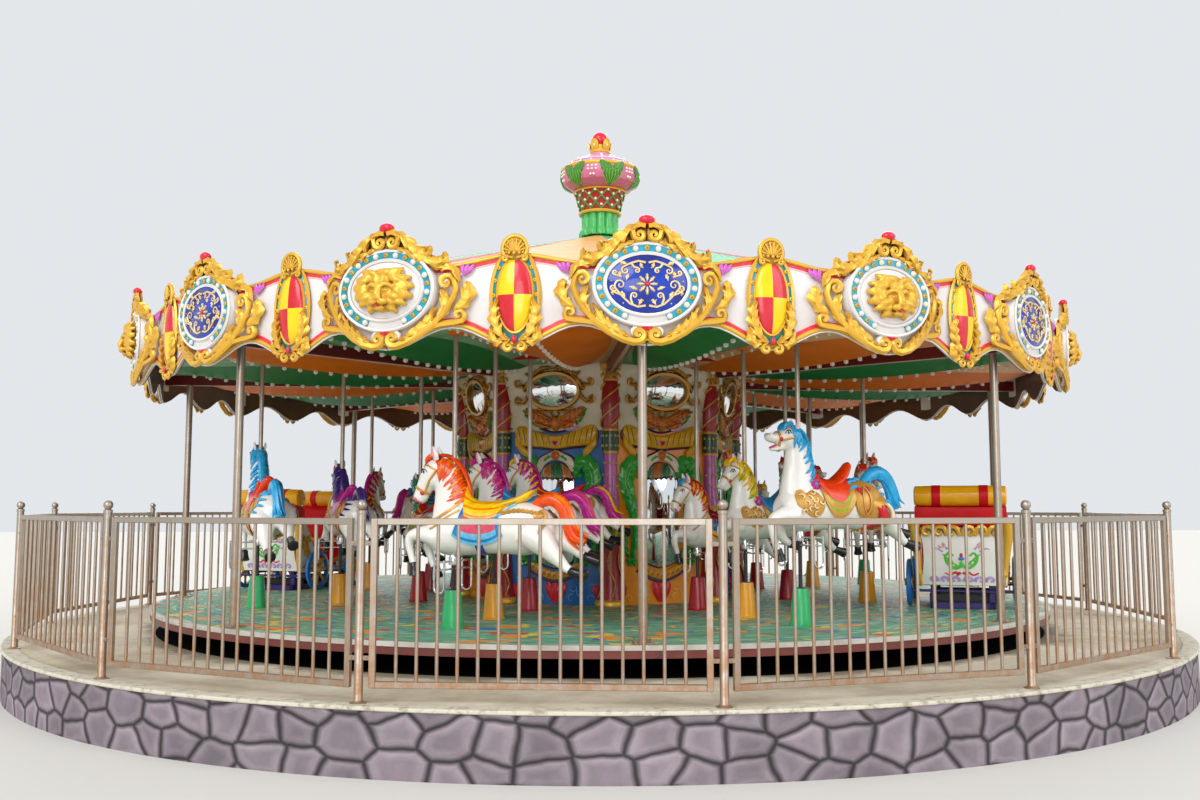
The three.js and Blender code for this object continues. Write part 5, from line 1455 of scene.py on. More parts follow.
# painted shade: grey-green on faces that turn downwards and in hollows, patchy through a noise
facing = add_node(horse_white, "NewGeometry")
downward = add_node(horse_white, "SeparateXYZ", {0: facing.outputs["Normal"]}).outputs["Z"]
under = add_node(horse_white, "MapRange", {"Value": downward, "From Min": 0.05, "From Max": -0.85,
    "To Min": 0.0, "To Max": 0.7})
cloud = add_node(horse_white, "TexNoise", {"Vector": place, "Scale": 6.0, "Detail": 5.0})
underside_shade = add_node(horse_white, "Math", {0: under, 1: cloud}, operation="MULTIPLY")
hollow_shade = add_node(horse_white, "MapRange", {"Value": facing.outputs["Pointiness"], "From Min": 0.49, "From Max": 0.42,
    "To Min": 0.0, "To Max": 0.55})
both = add_node(horse_white, "Math", {0: underside_shade, 1: hollow_shade}, operation="MAXIMUM")
tone = add_node(horse_white, "Mix", {0: both, 6: linear("#efebe5"), 7: linear("#7f8f76")}, data_type="RGBA")
feed(shader, {"Base Color": tone.outputs[2]})
peel = add_node(horse_white, "TexNoise", {"Vector": place, "Scale": 45.0, "Detail": 2.0})
bump = add_node(horse_white, "Bump", {"Height": peel, "Distance": 0.0015, "Strength": 0.4})
feed(shader, {"Normal": bump})

PAINTS = {
    "orange": ("#f2560f", "#c23408"), "deep_orange": ("#f4860c", "#d8440c"), "cyan": ("#2ab0e4", "#1484c0"),
    "magenta": ("#cc2494", "#8a1268"),
    "purple": ("#43277c", "#2a1656"), "green": ("#1f8a52", "#125c34"), "yellow": ("#f6cf10", "#e09c08"),
    "red": ("#d22028", "#9c1018"),
    "rose": ("#d8506a", "#b83450"), "sky": ("#6cc0e8", "#4a98c4"), "blue": ("#1f86c4", "#145a8a"),
    "lime": ("#9cb81c", "#6a8a10"),
    "vermilion": ("#f0400f", "#c42408"), "violet": ("#4a3a9c", "#302470"), "teal": ("#3cb89c", "#1f8a72"),
    "dark_red": ("#7c1420", "#500a14"),
}
paint = {name: moulded_gloss(f"horse_{name}_gloss", bright, dull, 0.26, 22.0, 0.75)
    for name, (bright, dull) in PAINTS.items()}
paint |= {"gold": harness_gold, "pale": pale_gold, "white": horse_white}
paint["black"] = moulded_gloss("hoof_black_gloss", "#17171a", "#2e2c2c", 0.22)
paint["eye"] = moulded_gloss("eye_white_gloss", "#f2f0ea", "#e0dcd2", 0.12)
paint["pink"] = moulded_gloss("muzzle_pink_gloss", "#e8a8b0", "#c87a88", 0.3)
rod_steel = stainless_steel("polished_rod_steel", 1.6, 0.7)
chrome, shader, place = painted("polished_chrome", "#d6d8da", 0.08, 1.0)
haze = add_node(chrome, "TexNoise", {"Vector": place, "Scale": 30.0, "Detail": 5.0})
dull = add_node(chrome, "MapRange", {"Value": haze, "From Min": 0.4, "From Max": 0.75, "To Min": 0.06, "To Max": 0.3})
feed(shader, {"Roughness": dull})

# The moulds, in millimetres from the pole and the belly: neck, head and jaw are (x, z, depth, half
# width)s, the legs (x, y, z, radius)es, and the rest places that the harness and the hair start from.
MOULDS = {
    "bowed": {
        "neck": [(0, 220, 170, 120), (10, 320, 165, 120), (15, 420, 150, 98), (30, 530, 135, 80), (70, 640, 115, 72),
            (120, 700, 80, 62)],
        "head": [(110, 715, 70, 55), (150, 675, 95, 68), (195, 625, 95, 72), (240, 560, 78, 60), (272, 500, 66, 50),
            (292, 450, 60, 50), (308, 415, 40, 40)],
        "cheek": (175, 600, 75, 70), "jaw": [], "ear": (135, 745, 165, 855), "eye": (232, 652), "nostril": (330, 455),
        "mouth": [(318, 450), (300, 425), (268, 412)],
        "crest": [(165, 765), (105, 785), (20, 765), (-55, 700), (-105, 620), (-140, 520), (-145, 420)],
        "strap": [(125, 665), (190, 575), (245, 475)], "noseband": (262, 505, -62),
        "legs": [[(100, 75, 140, 85), (210, 80, 165, 68), (325, 80, 150, 45), (345, 80, 80, 34), (318, 80, -30, 27),
            (302, 80, -85, 32)],
                 [(80, -75, 120, 80), (180, -80, 120, 62), (262, -80, 85, 42), (245, -80, 0, 32), (205, -80, -100, 28),
                     (190, -80, -125, 32)]],
        "hooves": [((300, 80, -85), (288, 80, -155)), ((190, -80, -120), (170, -80, -185))],
    },
    "forward": {
        "neck": [(0, 220, 170, 120), (10, 320, 165, 120), (10, 420, 148, 100), (10, 530, 128, 85), (22, 640, 108, 75),
            (50, 720, 85, 68)],
        "head": [(20, 765, 60, 50), (65, 765, 88, 68), (120, 755, 82, 68), (180, 750, 58, 52), (235, 744, 42, 42),
            (285, 744, 35, 38), (318, 748, 22, 26)],
        "cheek": (95, 725, 75, 66), "jaw": [(100, 700, 50, 45), (170, 672, 28, 34), (230, 656, 20, 27),
            (278, 650, 13, 19)], "ear": (35, 825, 30, 900), "eye": (140, 785),
        "nostril": (300, 768), "mouth": [],
        "crest": [(100, 845), (40, 840), (-35, 795), (-85, 710), (-108, 610), (-125, 520), (-135, 430)],
        "strap": [(30, 755), (110, 745), (185, 725)], "noseband": (205, 740, -6),
        "legs": [[(100, 75, 130, 85), (210, 80, 135, 66), (315, 80, 95, 45), (318, 80, 10, 34), (285, 80, -120, 28),
            (268, 80, -165, 33)],
                 [(80, -75, 100, 80), (130, -80, 30, 58), (125, -80, -30, 42), (80, -80, -75, 34), (30, -80, -95, 30),
                     (10, -80, -100, 32)]],
        "hooves": [((268, 80, -160), (250, 80, -225)), ((15, -80, -100), (-55, -80, -110))],
    },
    "reaching": {
        "neck": [(0, 220, 170, 120), (10, 320, 160, 120), (10, 420, 145, 98), (20, 520, 125, 82), (45, 610, 105, 74),
            (75, 670, 80, 66)],
        "head": [(60, 720, 60, 50), (100, 695, 85, 66), (150, 655, 80, 68), (200, 605, 60, 54), (242, 560, 46, 44),
            (278, 522, 40, 40), (298, 500, 24, 28)],
        "cheek": (115, 645, 72, 66), "jaw": [(110, 620, 50, 45), (165, 560, 30, 34), (205, 515, 22, 28),
            (235, 482, 14, 20)], "ear": (85, 765, 100, 850), "eye": (178, 668),
        "nostril": (298, 528), "mouth": [],
        "crest": [(140, 775), (80, 785), (0, 745), (-60, 670), (-95, 590), (-125, 510), (-138, 430)],
        "strap": [(75, 680), (135, 625), (190, 565)], "noseband": (218, 583, -44),
        "legs": [[(100, 75, 140, 85), (210, 80, 155, 66), (320, 80, 130, 45), (335, 80, 60, 34), (305, 80, -50, 27),
            (288, 80, -100, 32)],
                 [(80, -75, 110, 80), (160, -80, 80, 60), (215, -80, 35, 42), (190, -80, -40, 32), (145, -80, -120, 28),
                     (130, -80, -150, 32)]],
        "hooves": [((288, 80, -100), (272, 80, -165)), ((132, -80, -145), (108, -80, -205))],
    },
}
TORSO = [(200, 205, 70, 55), (140, 200, 150, 115), (40, 190, 190, 145), (-120, 195, 195, 150), (-290, 200, 185, 150),
         (-460, 205, 190, 150), (-600, 210, 205, 160), (-720, 220, 180, 140),
         (-800, 230, 120, 100), (-850, 235, 50, 40)]
HIND = [[(-660, 85, 200, 125), (-760, 90, 130, 115), (-840, 90, 50, 80), (-925, 90, -30, 50), (-985, 90, -85, 36),
    (-1045, 90, -110, 34)],
        [(-680, -85, 220, 125), (-790, -90, 180, 110), (-880, -90, 120, 78), (-970, -90, 60, 50), (-1040, -90, 10, 36),
            (-1100, -90, -10, 34)]]
HIND_HOOVES = [((-1040, 90, -110), (-1135, 90, -140)), ((-1090, -90, -10), (-1185, -90, -45))]
TAILS = {"light": [(-690, 385), (-760, 425), (-840, 430), (-920, 370), (-965, 260), (-1010, 160), (-1090, 105)],
    "wing": [(-650, 390), (-710, 455), (-800, 480), (-885, 440), (-940, 350), (-975, 250), (-1010, 190)]}


def limb(rows):
    """A leg through rows of (x, y, z, radius)."""
    rows = smooth(rows, 4 * len(rows)) / 1000
    return tube(rows[:, :3], rows[:, 3:].repeat(2, 1), horse_white, 14)


def trunk(rows, material=horse_white, sides=20):
    """A member in the horse's middle plane, through rows of (x, z, depth, half width)."""
    rows = smooth(rows, 5 * len(rows)) / 1000
    return tube(np.stack([rows[:, 0], 0 * rows[:, 0], rows[:, 1]], 1), rows[:, 2:], material, sides)


def figure_skin(mould):
    """The bare figure of a mould: one skin, and a tree that finds places on it."""
    rough = [trunk(TORSO, sides=24), trunk(mould["neck"]), trunk(mould["head"])]
    rough += [limb(rows) for rows in mould["legs"] + HIND]
    x, z, wide, deep = np.array(mould["cheek"]) / 1000
    (ex, ez), (nx, nz) = np.array(mould["eye"]) / 1000, np.array(mould["nostril"]) / 1000
    for side in (-1, 1):
        for px, py, pz, radii in ((0.075, 0.06, 0.17, (0.135, 0.085, 0.15)),
                                  (-0.63, 0.065, 0.21, (0.175, 0.095, 0.185)), (x, 0.022, z, (wide, 0.05, deep)),
                                  (ex, 0.052, ez + 0.014, (0.034, 0.022, 0.018)),
                                  (nx - 0.012, 0.026, nz, (0.026, 0.022, 0.022))):
            rough.append(ball((px, side * py, pz), radii, horse_white, 14, 9))
    if mould["jaw"]:
        rough.append(trunk(mould["jaw"]))
    points, loops = moulded(rough, VOXEL, FIGURE_FACES, 6)
    return points, loops, BVHTree.FromPolygons(points.tolist(), loops)


def on_skin(tree, x, z, side, lift=0.0):
    """The point on the figure's side at (x, z), lifted off it."""
    hit, normal, _, _ = tree.ray_cast(Vector((x, side * 0.6, z)), Vector((0, -side, 0)))
    if hit is None:
        hit, normal, _, _ = tree.find_nearest(Vector((x, side * 0.05, z)))
    return np.array(hit) + np.array(normal) * (lift if normal.y * side > 0 else -lift)


def stroke(tree, points, side, widths, thick, material, count=12, lift=0.0, sides=5):
    """A flat moulding that follows (x, z) points over one flank."""
    path = np.array([on_skin(tree, x, z, side, lift) for x, z in smooth(points, count)])
    span = np.interp(np.linspace(0, 1, count), np.linspace(0, 1, len(widths)), widths)
    return tube(path, np.stack([span, np.minimum(span, thick)], 1), material, sides)


def patch(tree, outline, side, lift, material):
    """A moulded plate over one flank: its outline in (x, z), crowned by lift."""
    count = 2 * len(outline) + 2
    rim = smooth([*outline, outline[0]], count + 1)[:-1]
    middle = rim.mean(0)
    levels = [(1.0, -0.006), (1.0, lift * 0.55), (0.7, lift)]
    vertices = [on_skin(tree, *(middle + (p - middle) * share), side, height) for share, height in levels for p in rim]
    faces = grid_faces(3, count) + [(2 * count + i, 2 * count + (i + 1) % count, 3 * count) for i in range(count)]
    return np.array([*vertices, on_skin(tree, *middle, side, lift)]), faces, material


def applied(tree, rows):
    """Mouldings on both flanks, from rows in millimetres: a paint, a lift, a list of half widths for
    a stroke or None for a plate, and its (x, z)s."""
    shapes = []
    for name, lift, widths, *points in rows:
        points = np.array(points) / 1000
        for side in (-1, 1):
            if widths:
                shapes.append(stroke(tree, points, side, np.array(widths) / 1000, 0.008, paint[name],
                    2 * len(points) + 1, lift / 1000, 4))
            else:
                shapes.append(patch(tree, points, side, lift / 1000, paint[name]))
    return shapes


def wrapped(tree, front, back, reach, fall, lift, finish, rows=27, columns=11):
    """A cloth laid over the back. Front and back give x for a share of the way down. It comes down
    by reach degrees, less fall at its ends. Lift and finish go by the place along and round."""
    outer, sunk = [], []
    for r in np.linspace(-1, 1, rows):
        for c in np.linspace(0, 1, columns):
            turn = r * math.radians(reach - fall * abs(2 * c - 1) ** 2.4)
            x = front(abs(r)) + (back(abs(r)) - front(abs(r))) * c
            out, axis = Vector((0, math.sin(turn), math.cos(turn))), Vector((x, 0, 0.21))
            hit = tree.ray_cast(axis + out * 0.35, -out)[0] or axis + out * 0.17
            outer.append(np.array(hit + out * lift(c, r)))
            sunk.append(np.array(hit - out * 0.012))
    faces = grid_faces(rows, columns, closed=False)
    paints = [finish((a % columns + 0.5) / (columns - 1), -1 + 2 * (a // columns + 0.5) / (rows - 1))
        for a, *_ in faces]
    size, rim = rows * columns, grid_rim(rows, columns)
    around = enumerate(zip(rim, rim[1:] + rim[:1]))
    faces += [(a, b, size + (k + 1) % len(rim), size + k) for k, (a, b) in around]
    faces.append(tuple(range(size, size + len(rim))))
    return np.array(outer + [sunk[a] for a in rim]), faces, paints + [finish(0.0, 1.0)] * (len(rim) + 1)


def banded(*bands):
    """A cloth's finish in bands that follow its edge: a paint and how far out it goes, for each."""
    return lambda along, round_: next(paint[name] for name, limit in bands
        if max(abs(round_), abs(2 * along - 1)) <= limit + 1e-9)


def band(tree, centre, lean, wide, thick, material, count=24):
    """A strap round the figure, in the plane through a centre (x, z) square to a leaning line."""
    middle, ahead = Vector((centre[0], 0, centre[1])), np.array((math.cos(lean), 0, math.sin(lean)))
    vertices = []
    for i in range(count):
        t = 2 * math.pi * i / count
        out = Vector((-math.sin(lean) * math.sin(t), math.cos(t), math.cos(lean) * math.sin(t)))
        hit = tree.ray_cast(middle, out)[0] or middle + out * 0.05
        inner, outer = np.array(hit - out * 0.006), np.array(hit + out * thick)
        vertices += [inner - ahead * wide, outer - ahead * wide, outer + ahead * wide, inner + ahead * wide]
    return np.array(vertices), grid_faces(count, 4, looped=True), material


def head_and_mane(tree, mould, look):
    """Mane, forelock, ears, eyes, mouth, bridle, horn and hooves of one figure."""
    mane = [paint[name] for name in look["mane"]]
    crest = np.array(mould["crest"]) / 1000
    ridge, spine = smooth([(x, 0, z) for x, z in crest], 18), smooth(crest, 44)
    thick = np.sin(np.pi * np.linspace(0.14, 0.9, 18)) ** 0.5
    shapes = [tube(ridge, np.stack([0.017 * thick, 0.036 * thick], 1), mane[0], 10)]
    ex, ez = np.array(mould["eye"]) / 1000
    nx, nz = np.array(mould["nostril"]) / 1000
    strap = np.array(mould["strap"]) / 1000
    bx, bz, lean = mould["noseband"]
    x0, z0, x1, z1 = np.array(mould["ear"]) / 1000
    locks = look.get("locks", 19)
    for side in (-1, 1):
        for lock in range(locks):
            at = 3 + lock * 37 / (locks - 1)
            x, z = spine[round(at)]
            ahead = spine[min(round(at) + 2, 43)] - spine[round(at) - 1]
            inward = np.array([-ahead[1], ahead[0]]) / np.hypot(*ahead)
            inward = inward if inward[0] > 0 else -inward
            reach = look["mane_reach"] * (0.82 + 0.26 * math.sin(2.6 * lock + side))
            sway = 0.014 * math.sin(1.9 * lock)
            line = [(x + share * reach * inward[0] + wave * 0.012 + share * sway, z + share * reach * inward[1] - drop)
                    for share, wave, drop in ((0, 0, 0), (0.3, 1, 0.022), (0.55, -0.4, 0.034), (0.8, 0.8, 0.056),
                        (1.05, 0, 0.062))]
            shapes.append(stroke(tree, line, side, [0.024, 0.021, 0.017, 0.012, 0.002], 0.013,
                mane[(lock + 1) % len(mane)], 8, 0.004, 4))
        ear = smooth([(x0, side * 0.04, z0, 0.02), (x0 + 0.3 * (x1 - x0), side * 0.046, z0 + 0.35 * (z1 - z0), 0.026),
            (x0 + 0.7 * (x1 - x0), side * 0.048, z0 + 0.7 * (z1 - z0), 0.018), (x1, side * 0.046, z1, 0.003)], 7)
        shapes += [tube(ear[:, :3], ear[:, 3:] * (1, 0.55), horse_white, 8),
            tube(ear[1:, :3] + (0.01, side * 0.006, 0), ear[1:, 3:] * (0.6, 0.35), paint["pink"], 6)]
        eye = on_skin(tree, ex, ez, side, -0.006)
        shapes += [ball(eye, (0.021, 0.012, 0.016), paint["eye"], 10, 6),
                   ball(eye + (0.002, side * 0.006, 0), (0.011, 0.0085, 0.012), paint["black"], 8, 5),
                   stroke(tree, [(ex - 0.028, ez - 0.002), (ex - 0.008, ez + 0.019), (ex + 0.014, ez + 0.016),
                       (ex + 0.028, ez - 0.006)], side, [0.003, 0.006, 0.006, 0.003], 0.006, paint["black"], 8, 0.003),
                   ball(on_skin(tree, nx, nz, side, -0.001), (0.01, 0.005, 0.008), paint["pink"], 8, 6),
                   stroke(tree, strap, side, [0.01, 0.01], 0.006, harness_gold, 10, 0.003),
                   stroke(tree, [strap[0], (ex - 0.015, ez + 0.055), (ex + 0.02, ez + 0.062)], side, [0.008, 0.008],
                       0.005, harness_gold, 8, 0.003),
                   ball(on_skin(tree, *(strap[-1] + 0.012), side, 0.004), (0.018, 0.009, 0.018), paint["red"], 10, 6)]
        if mould["mouth"]:
            shapes.append(stroke(tree, np.array(mould["mouth"]) / 1000, side, [0.012, 0.011, 0.003], 0.006,
                paint["rose"], 8, 0.0))
    shapes.append(band(tree, (bx / 1000, bz / 1000), math.radians(lean), 0.01, 0.007, harness_gold))
    if mould["jaw"]:
        (hx, hz, *_), (tx, tz, *_) = mould["jaw"][1], mould["jaw"][-1]
        shapes.append(trunk([(hx, hz + 26, 10, 20), (0.6 * tx + 0.4 * hx, 0.6 * tz + 0.4 * hz + 24, 9, 18),
            (tx + 4, tz + 16, 6, 11)], paint["rose"], 8))
    fx, fz = crest[0]
    for k in range(5):
        y = 0.014 * (k - 2)
        lock = smooth([(fx - 0.035, y * 0.6, fz + 0.006, 0.018), (fx + 0.015, y, fz + 0.018, 0.022),
            (fx + 0.058, 1.3 * y, fz - 0.012, 0.017), (fx + 0.072 - 0.004 * abs(k - 2), 1.6 * y, fz - 0.055, 0.003)], 9)
        shapes.append(tube(lock[:, :3], lock[:, 3:] * (1, 0.8), paint[look["forelock"]], 5))
    if look.get("horn"):
        rise = np.array((0.05, 0, 0.125) if mould["jaw"] else (0.085, 0, 0.105))
        shapes.append(tube([(fx + 0.03, 0, fz) + rise * s for s in np.linspace(-0.15, 1, 10)],
            np.linspace(0.022, 0.003, 10), paint[look["horn"]], 10))
    for ends in mould["hooves"] + HIND_HOOVES:
        top, toe = np.array(ends) / 1000
        shapes.append(tube([top + (toe - top) * share for share in (-0.45, -0.35, 0.1, 0.55, 0.95, 1.0)],
            [0.032, 0.037, 0.038, 0.043, 0.05, 0.044], paint["black"], 11))
    return shapes


def tail_shapes(look):
    """The tail: a thick arched switch of hair, whose locks wind a little and spread at its end."""
    tail = [paint[name] for name in look["tail"]]
    rows = smooth([(x, 0, z) for x, z in TAILS[look["harness"]]], 19) / 1000
    share = np.linspace(0, 1, 19)
    ahead = np.gradient(rows, axis=0)
    side = np.cross(ahead / np.linalg.norm(ahead, axis=1)[:, None], (0, 1, 0))
    shapes = [tube(rows, 0.052 * np.sin(np.pi * (0.24 + 0.62 * share)) ** 0.6, tail[0], 12)]
    for k in range(7):
        phase = 2 * math.pi * k / 7 + 1.5 * share
        fan = 0.036 * np.sin(np.pi * np.minimum(0.12 + share, 0.6)) ** 0.7 * (0.9 + 1.25 * share**3)
        rise, sway = fan * np.cos(phase), fan * np.sin(phase) * 0.75
        lock = rows + side * rise[:, None] + np.array((0, 1, 0)) * sway[:, None]
        thick = 0.026 * np.sin(np.pi * np.minimum(0.1 + 1.1 * share, 1 - 0.45 * (1 - share) - 0.01)) ** 0.6
        shapes.append(tube(lock, thick, tail[k % len(tail)], 5))
    return shapes


def saddle(tree, look, back, reach, fall, cantle):
    """A scrolled seat with a rounded skirt, a low pommel and a cantle that curls up behind."""
    def finish(along, round_):
        piped = look["harness"] == "light" and int(abs(round_) * 13) in (3, 7, 11)
        return paint[look["seat_trim" if piped else "seat"]]

    def lift(along, round_):
        return 0.02 + (0.018 + 0.032 * math.exp(-((along - 0.05) / 0.12) ** 2)) * math.cos(round_ * math.pi / 2) ** 1.5
    return [wrapped(tree, lambda r: -0.12 - 0.03 * r**2, back, reach, fall, lift, finish),
        trunk(cantle, paint[look["seat"]], 16)]


def light_harness(tree, look):
    """A saddle on a bordered cloth with rounded corners, a breast strap, a rump rope and a girth."""
    bands = ((look["cloth"], 0.8), (look["border"], 0.89), (look["edge"], 0.94), (look["border"], 1.0))
    shapes = [wrapped(tree, lambda r: -0.12 + 0.065 * r**2, lambda r: -0.42 - 0.06 * r**2, 134, 26, lambda a, r: 0.014,
        banded(*bands), 37, 13), band(tree, (-0.27, 0.2), 0.0, 0.032, 0.009, paint["violet"], 30)]
    shapes += saddle(tree, look, lambda r: -0.52 + 0.1 * r, 66, 12,
        [(-380, 385, 24, 100), (-480, 408, 30, 105), (-560, 432, 30, 90), (-620, 462, 28, 66), (-655, 490, 18, 40),
        (-668, 505, 6, 15)])
    shapes += applied(tree, [("gold", 4, (14, 14), (-80, 405), (-20, 355), (50, 310), (130, 265)),
                             ("gold", 5, (9, 9), (-90, 350), (0, 300), (80, 240), (140, 205)),
                             ("sky", 8, (10, 12, 8), (-400, 290), (-455, 320), (-520, 372), (-560, 392)),
                             ("gold", 8, (26, 30, 24, 6), (-760, 345), (-795, 300), (-800, 240), (-785, 175)),
                             ("gold", 16, None, (-755, 350), (-715, 315), (-755, 280), (-790, 315))])
    rope = smooth([(-0.45, 0.325), (-0.58, 0.345), (-0.68, 0.34), (-0.76, 0.32)], 18)
    for side in (-1, 1):
        line = np.array([on_skin(tree, x, z, side, 0.008) for x, z in rope])
        for twist in (0, math.pi):
            shapes.append(tube(line + np.outer(np.sin(np.arange(18) * 1.6 + twist), (0, 0, 0.008)), 0.012,
                harness_gold, 6))
    return shapes


def wing_harness(tree, look):
    """A shell-shaped cloth, a filigree breastplate with a flower, and winged rump armour."""
    gold, trim = "gold", look["seat_trim"]
    bands = ((gold, 0.38), (trim, 0.46), (gold, 0.58), (trim, 0.66), (gold, 0.84), (trim, 0.9), (gold, 1.0))
    shapes = [wrapped(tree, lambda r: -0.12 - 0.02 * r, lambda r: -0.47 + 0.02 * r, 126, 52,
        lambda a, r: 0.014 + 0.003 * math.cos(20 * max(abs(r), abs(2 * a - 1))), banded(*bands), 33, 15)]
    shapes += saddle(tree, look, lambda r: -0.44 + 0.02 * r, 82, 42,
        [(-280, 375, 24, 95), (-360, 405, 34, 98), (-420, 450, 36, 84), (-462, 500, 34, 64), (-485, 540, 28, 46),
        (-492, 562, 10, 18)])
    plate = [(100, 325), (60, 335), (20, 305), (-30, 330), (-85, 310), (-125, 262), (-138, 190), (-100, 132),
        (-40, 115), (20, 140), (65, 180), (110, 205), (122, 270)]
    rows = [(gold, 13, None, *plate)]
    for k in range(10):
        turn, reach = 0.6 * k, 42 + 46 * (k % 2)
        x, z = -10 + reach * 1.15 * math.cos(turn), 225 + reach * math.sin(turn)
        rows.append(("pale", 15, (5, 9, 8, 3), *((x + 24 * math.cos(t + turn), z + 20 * math.sin(t + turn))
            for t in (0, 1.4, 2.8, 4.2))))
    rows += [(gold, 14, None, (-425, 385), (-500, 412), (-600, 402), (-680, 352), (-722, 270), (-715, 180), (-670, 120),
        (-600, 92), (-520, 105), (-470, 150), (-435, 250)),
             (gold, 28, None, *((-545 + 98 * math.cos(t), 245 + 122 * math.sin(t))
                 for t in np.arange(12) * math.pi / 6)),
             ("red", 26, None, (-640, 215), (-700, 195), (-735, 130), (-705, 60), (-640, 20), (-565, 25),
                 (-630, 75), (-655, 130)),
             (gold, 16, (12, 14, 12, 10), (-560, 20), (-640, 5), (-720, 50), (-752, 130), (-715, 205), (-640, 228)),
             (gold, 30, (8, 6), (-545, 345), (-515, 290), (-515, 200), (-545, 140)),
             (gold, 30, (8, 6), (-545, 345), (-575, 290), (-575, 200), (-545, 140))]
    for x, z, size in ((-500, 318, 30), (-575, 330, 30), (-545, 165, 18)):
        rows.append(("red", 36, None, (x, z - 1.3 * size), (x + 0.8 * size, z), (x + 0.5 * size, z + 0.7 * size),
            (x, z + 0.4 * size), (x - 0.5 * size, z + 0.7 * size), (x - 0.8 * size, z)))
    feathers = look["feathers"]
    rows += [(feathers, 18, (5, 21, 18, 3), (x, z), (x - 28, z + rise * 0.3), (x - 60, z + rise * 0.7),
        (x - 95, z + rise)) for x, z, rise in ((-415, 335, 20), (-420, 372, 22), (-490, 402, 6))]
    rows += [(feathers, 10, (4, 19, 15, 3), (x, z), (x - 25, z + rise * 0.4), (x - 52, z + rise * 0.8),
        (x - 76, z + rise)) for x, z, rise in ((-640, 385, 12), (-680, 345, 2), (-705, 300, -8), (-715, 250, -20))]
    shapes += applied(tree, rows)
    for side in (-1, 1):
        centre = on_skin(tree, -0.085, 0.375, side, 0.014)
        shapes += [ball(centre + np.array((0.031 * math.cos(t), 0, 0.031 * math.sin(t))), (0.023, 0.013, 0.023),
            paint["magenta"], 8, 5) for t in np.arange(6) * math.pi / 3]
        shapes.append(ball(centre + (0, side * 0.008, 0), (0.016, 0.012, 0.016), paint["teal"], 8, 5))
    return shapes


# The rod, its clamp under the belly, the cross bar and a hairpin footrest each side.
def rod_and_footrests(scale, lift):
    """The stainless pole above, the darker rod below and the chrome footrests, about the pole."""
    belly, top = BELLY_HEIGHT + lift, BELLY_HEIGHT + lift + 0.42 * scale
    shapes = [tube([(0, 0, ROD_FOOT + lift), (0, 0, belly + 0.1)], 0.016, black_iron, 14),
              tube([(0, 0, belly - 0.02), (0, 0, POLE_TOP + lift)], POLE_RADIUS, rod_steel, 20),
              turned([(0.034, belly - 0.075), (0.036, belly - 0.06), (0.036, belly - 0.02), (0.028, belly + 0.01)],
                  chrome, 18),
              turned([(0.03, top - 0.02), (0.032, top), (0.022, top + 0.014)], chrome, 16)]
    deep, half, reach = FOOTREST_DEPTH * scale, HAIRPIN_HALF * scale, FOOTREST_REACH * scale
    foot = belly - 0.03 - deep + half
    for z in (belly - 0.045, belly - 0.105):
        shapes.append(tube([(0, -reach, z), (0, reach, z)], 0.008, chrome, 8, (0, 0, 1)))
        shapes += [tube([(-half, y, z), (half, y, z)], 0.006, chrome, 6) for y in (-reach, reach)]
    for y in (-reach, reach):
        bend = [(half * math.sin(t), y, foot - half * math.cos(t)) for t in np.linspace(-1.3, 1.3, 9)]
        shapes.append(tube([(-half, y, belly - 0.03), (-half, y, foot), *bend, (half, y, foot),
            (half, y, belly - 0.03)], 0.008, chrome, 8))
    return shapes


def look(mould, harness, mane, forelock, tail, mane_reach, seat, seat_trim, **more):
    """How one horse of the set is painted. Mane and tail are paints, parted by spaces."""
    return dict(mould=mould, harness=harness, mane=mane.split(), forelock=forelock, tail=tail.split(),
        mane_reach=mane_reach, seat=seat, seat_trim=seat_trim, **more)


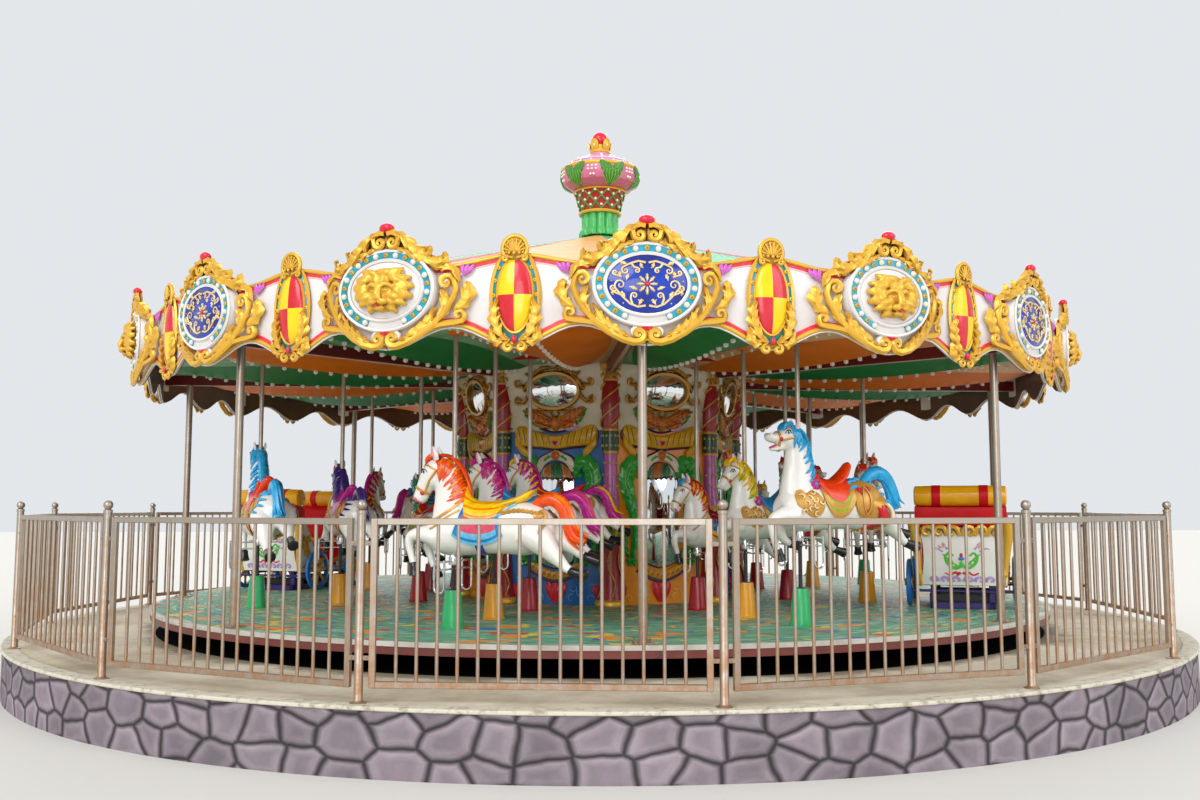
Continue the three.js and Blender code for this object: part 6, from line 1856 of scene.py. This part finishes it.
LOOKS = {
    "flame": look("bowed", "light", "orange deep_orange orange", "orange", "orange vermilion deep_orange", 0.135,
        "yellow", "deep_orange", cloth="rose", border="sky", edge="blue"),
    "sky": look("forward", "wing", "cyan", "cyan", "cyan cyan cyan blue", 0.11, "vermilion", "lime",
        feathers="cyan", locks=13),
    "unicorn": look("bowed", "light", "magenta magenta rose", "magenta", "magenta magenta rose", 0.12, "blue", "sky",
        cloth="teal", border="yellow", edge="magenta", horn="purple"),
    "gold": look("reaching", "wing", "yellow yellow lime yellow", "yellow", "yellow lime", 0.14, "blue", "lime",
        feathers="deep_orange", horn="vermilion"),
    "plum": look("reaching", "wing", "purple purple violet", "vermilion", "purple violet", 0.13, "magenta", "purple",
        feathers="purple"),
    "rose": look("bowed", "light", "magenta yellow magenta", "yellow", "magenta magenta yellow", 0.11, "red", "yellow",
        cloth="blue", border="sky", edge="magenta"),
    "parade": look("bowed", "light", "red deep_orange yellow", "cyan", "red deep_orange", 0.12, "dark_red", "rose",
        cloth="blue", border="yellow", edge="red"),
    "meadow": look("forward", "light", "green green teal", "red", "green teal", 0.12, "red", "yellow", cloth="lime",
        border="yellow", edge="green"),
}
ROW_LOOKS = {"outer": ("flame", "sky", "", "flame", "sky", "flame", "", "sky"),
             "middle": ("unicorn", "gold", "plum", "meadow", "unicorn", "gold", "rose", "plum"),
             "inner": ("rose", "parade", "meadow", "rose", "parade", "meadow", "unicorn", "meadow")}
OUTER_LEVELS = {1: -JUMP, 5: 0, 8: 0}  # how far these bays' horses stand over mid stroke; the rest are at the top

skins = {name: figure_skin(mould) for name, mould in MOULDS.items()}
figures = {}
for name, style in LOOKS.items():
    points, loops, tree = skins[style["mould"]]
    dress = light_harness if style["harness"] == "light" else wing_harness
    figures[name] = [(points, loops, horse_white), *head_and_mane(tree, MOULDS[style["mould"]], style),
        *tail_shapes(style), *dress(tree, style)]
for row, bay, angle, radius in horse_places():
    scale = ROW_SCALES[row]
    lift = {"outer": OUTER_LEVELS.get(bay, JUMP), "middle": 0, "inner": JUMP if bay % 2 else -JUMP}[row]
    body = f"{row}_horse_{bay}"
    shapes = [placed((points * (-scale, -scale, scale), loops, material), angle, radius, BELLY_HEIGHT + lift)
        for points, loops, material in figures[ROW_LOOKS[row][bay - 1]]]
    piece(f"{body}_figure", shapes, body, [body], 50)
    piece(f"{body}_pole", spread(rod_and_footrests(scale, lift), angle, radius), body)
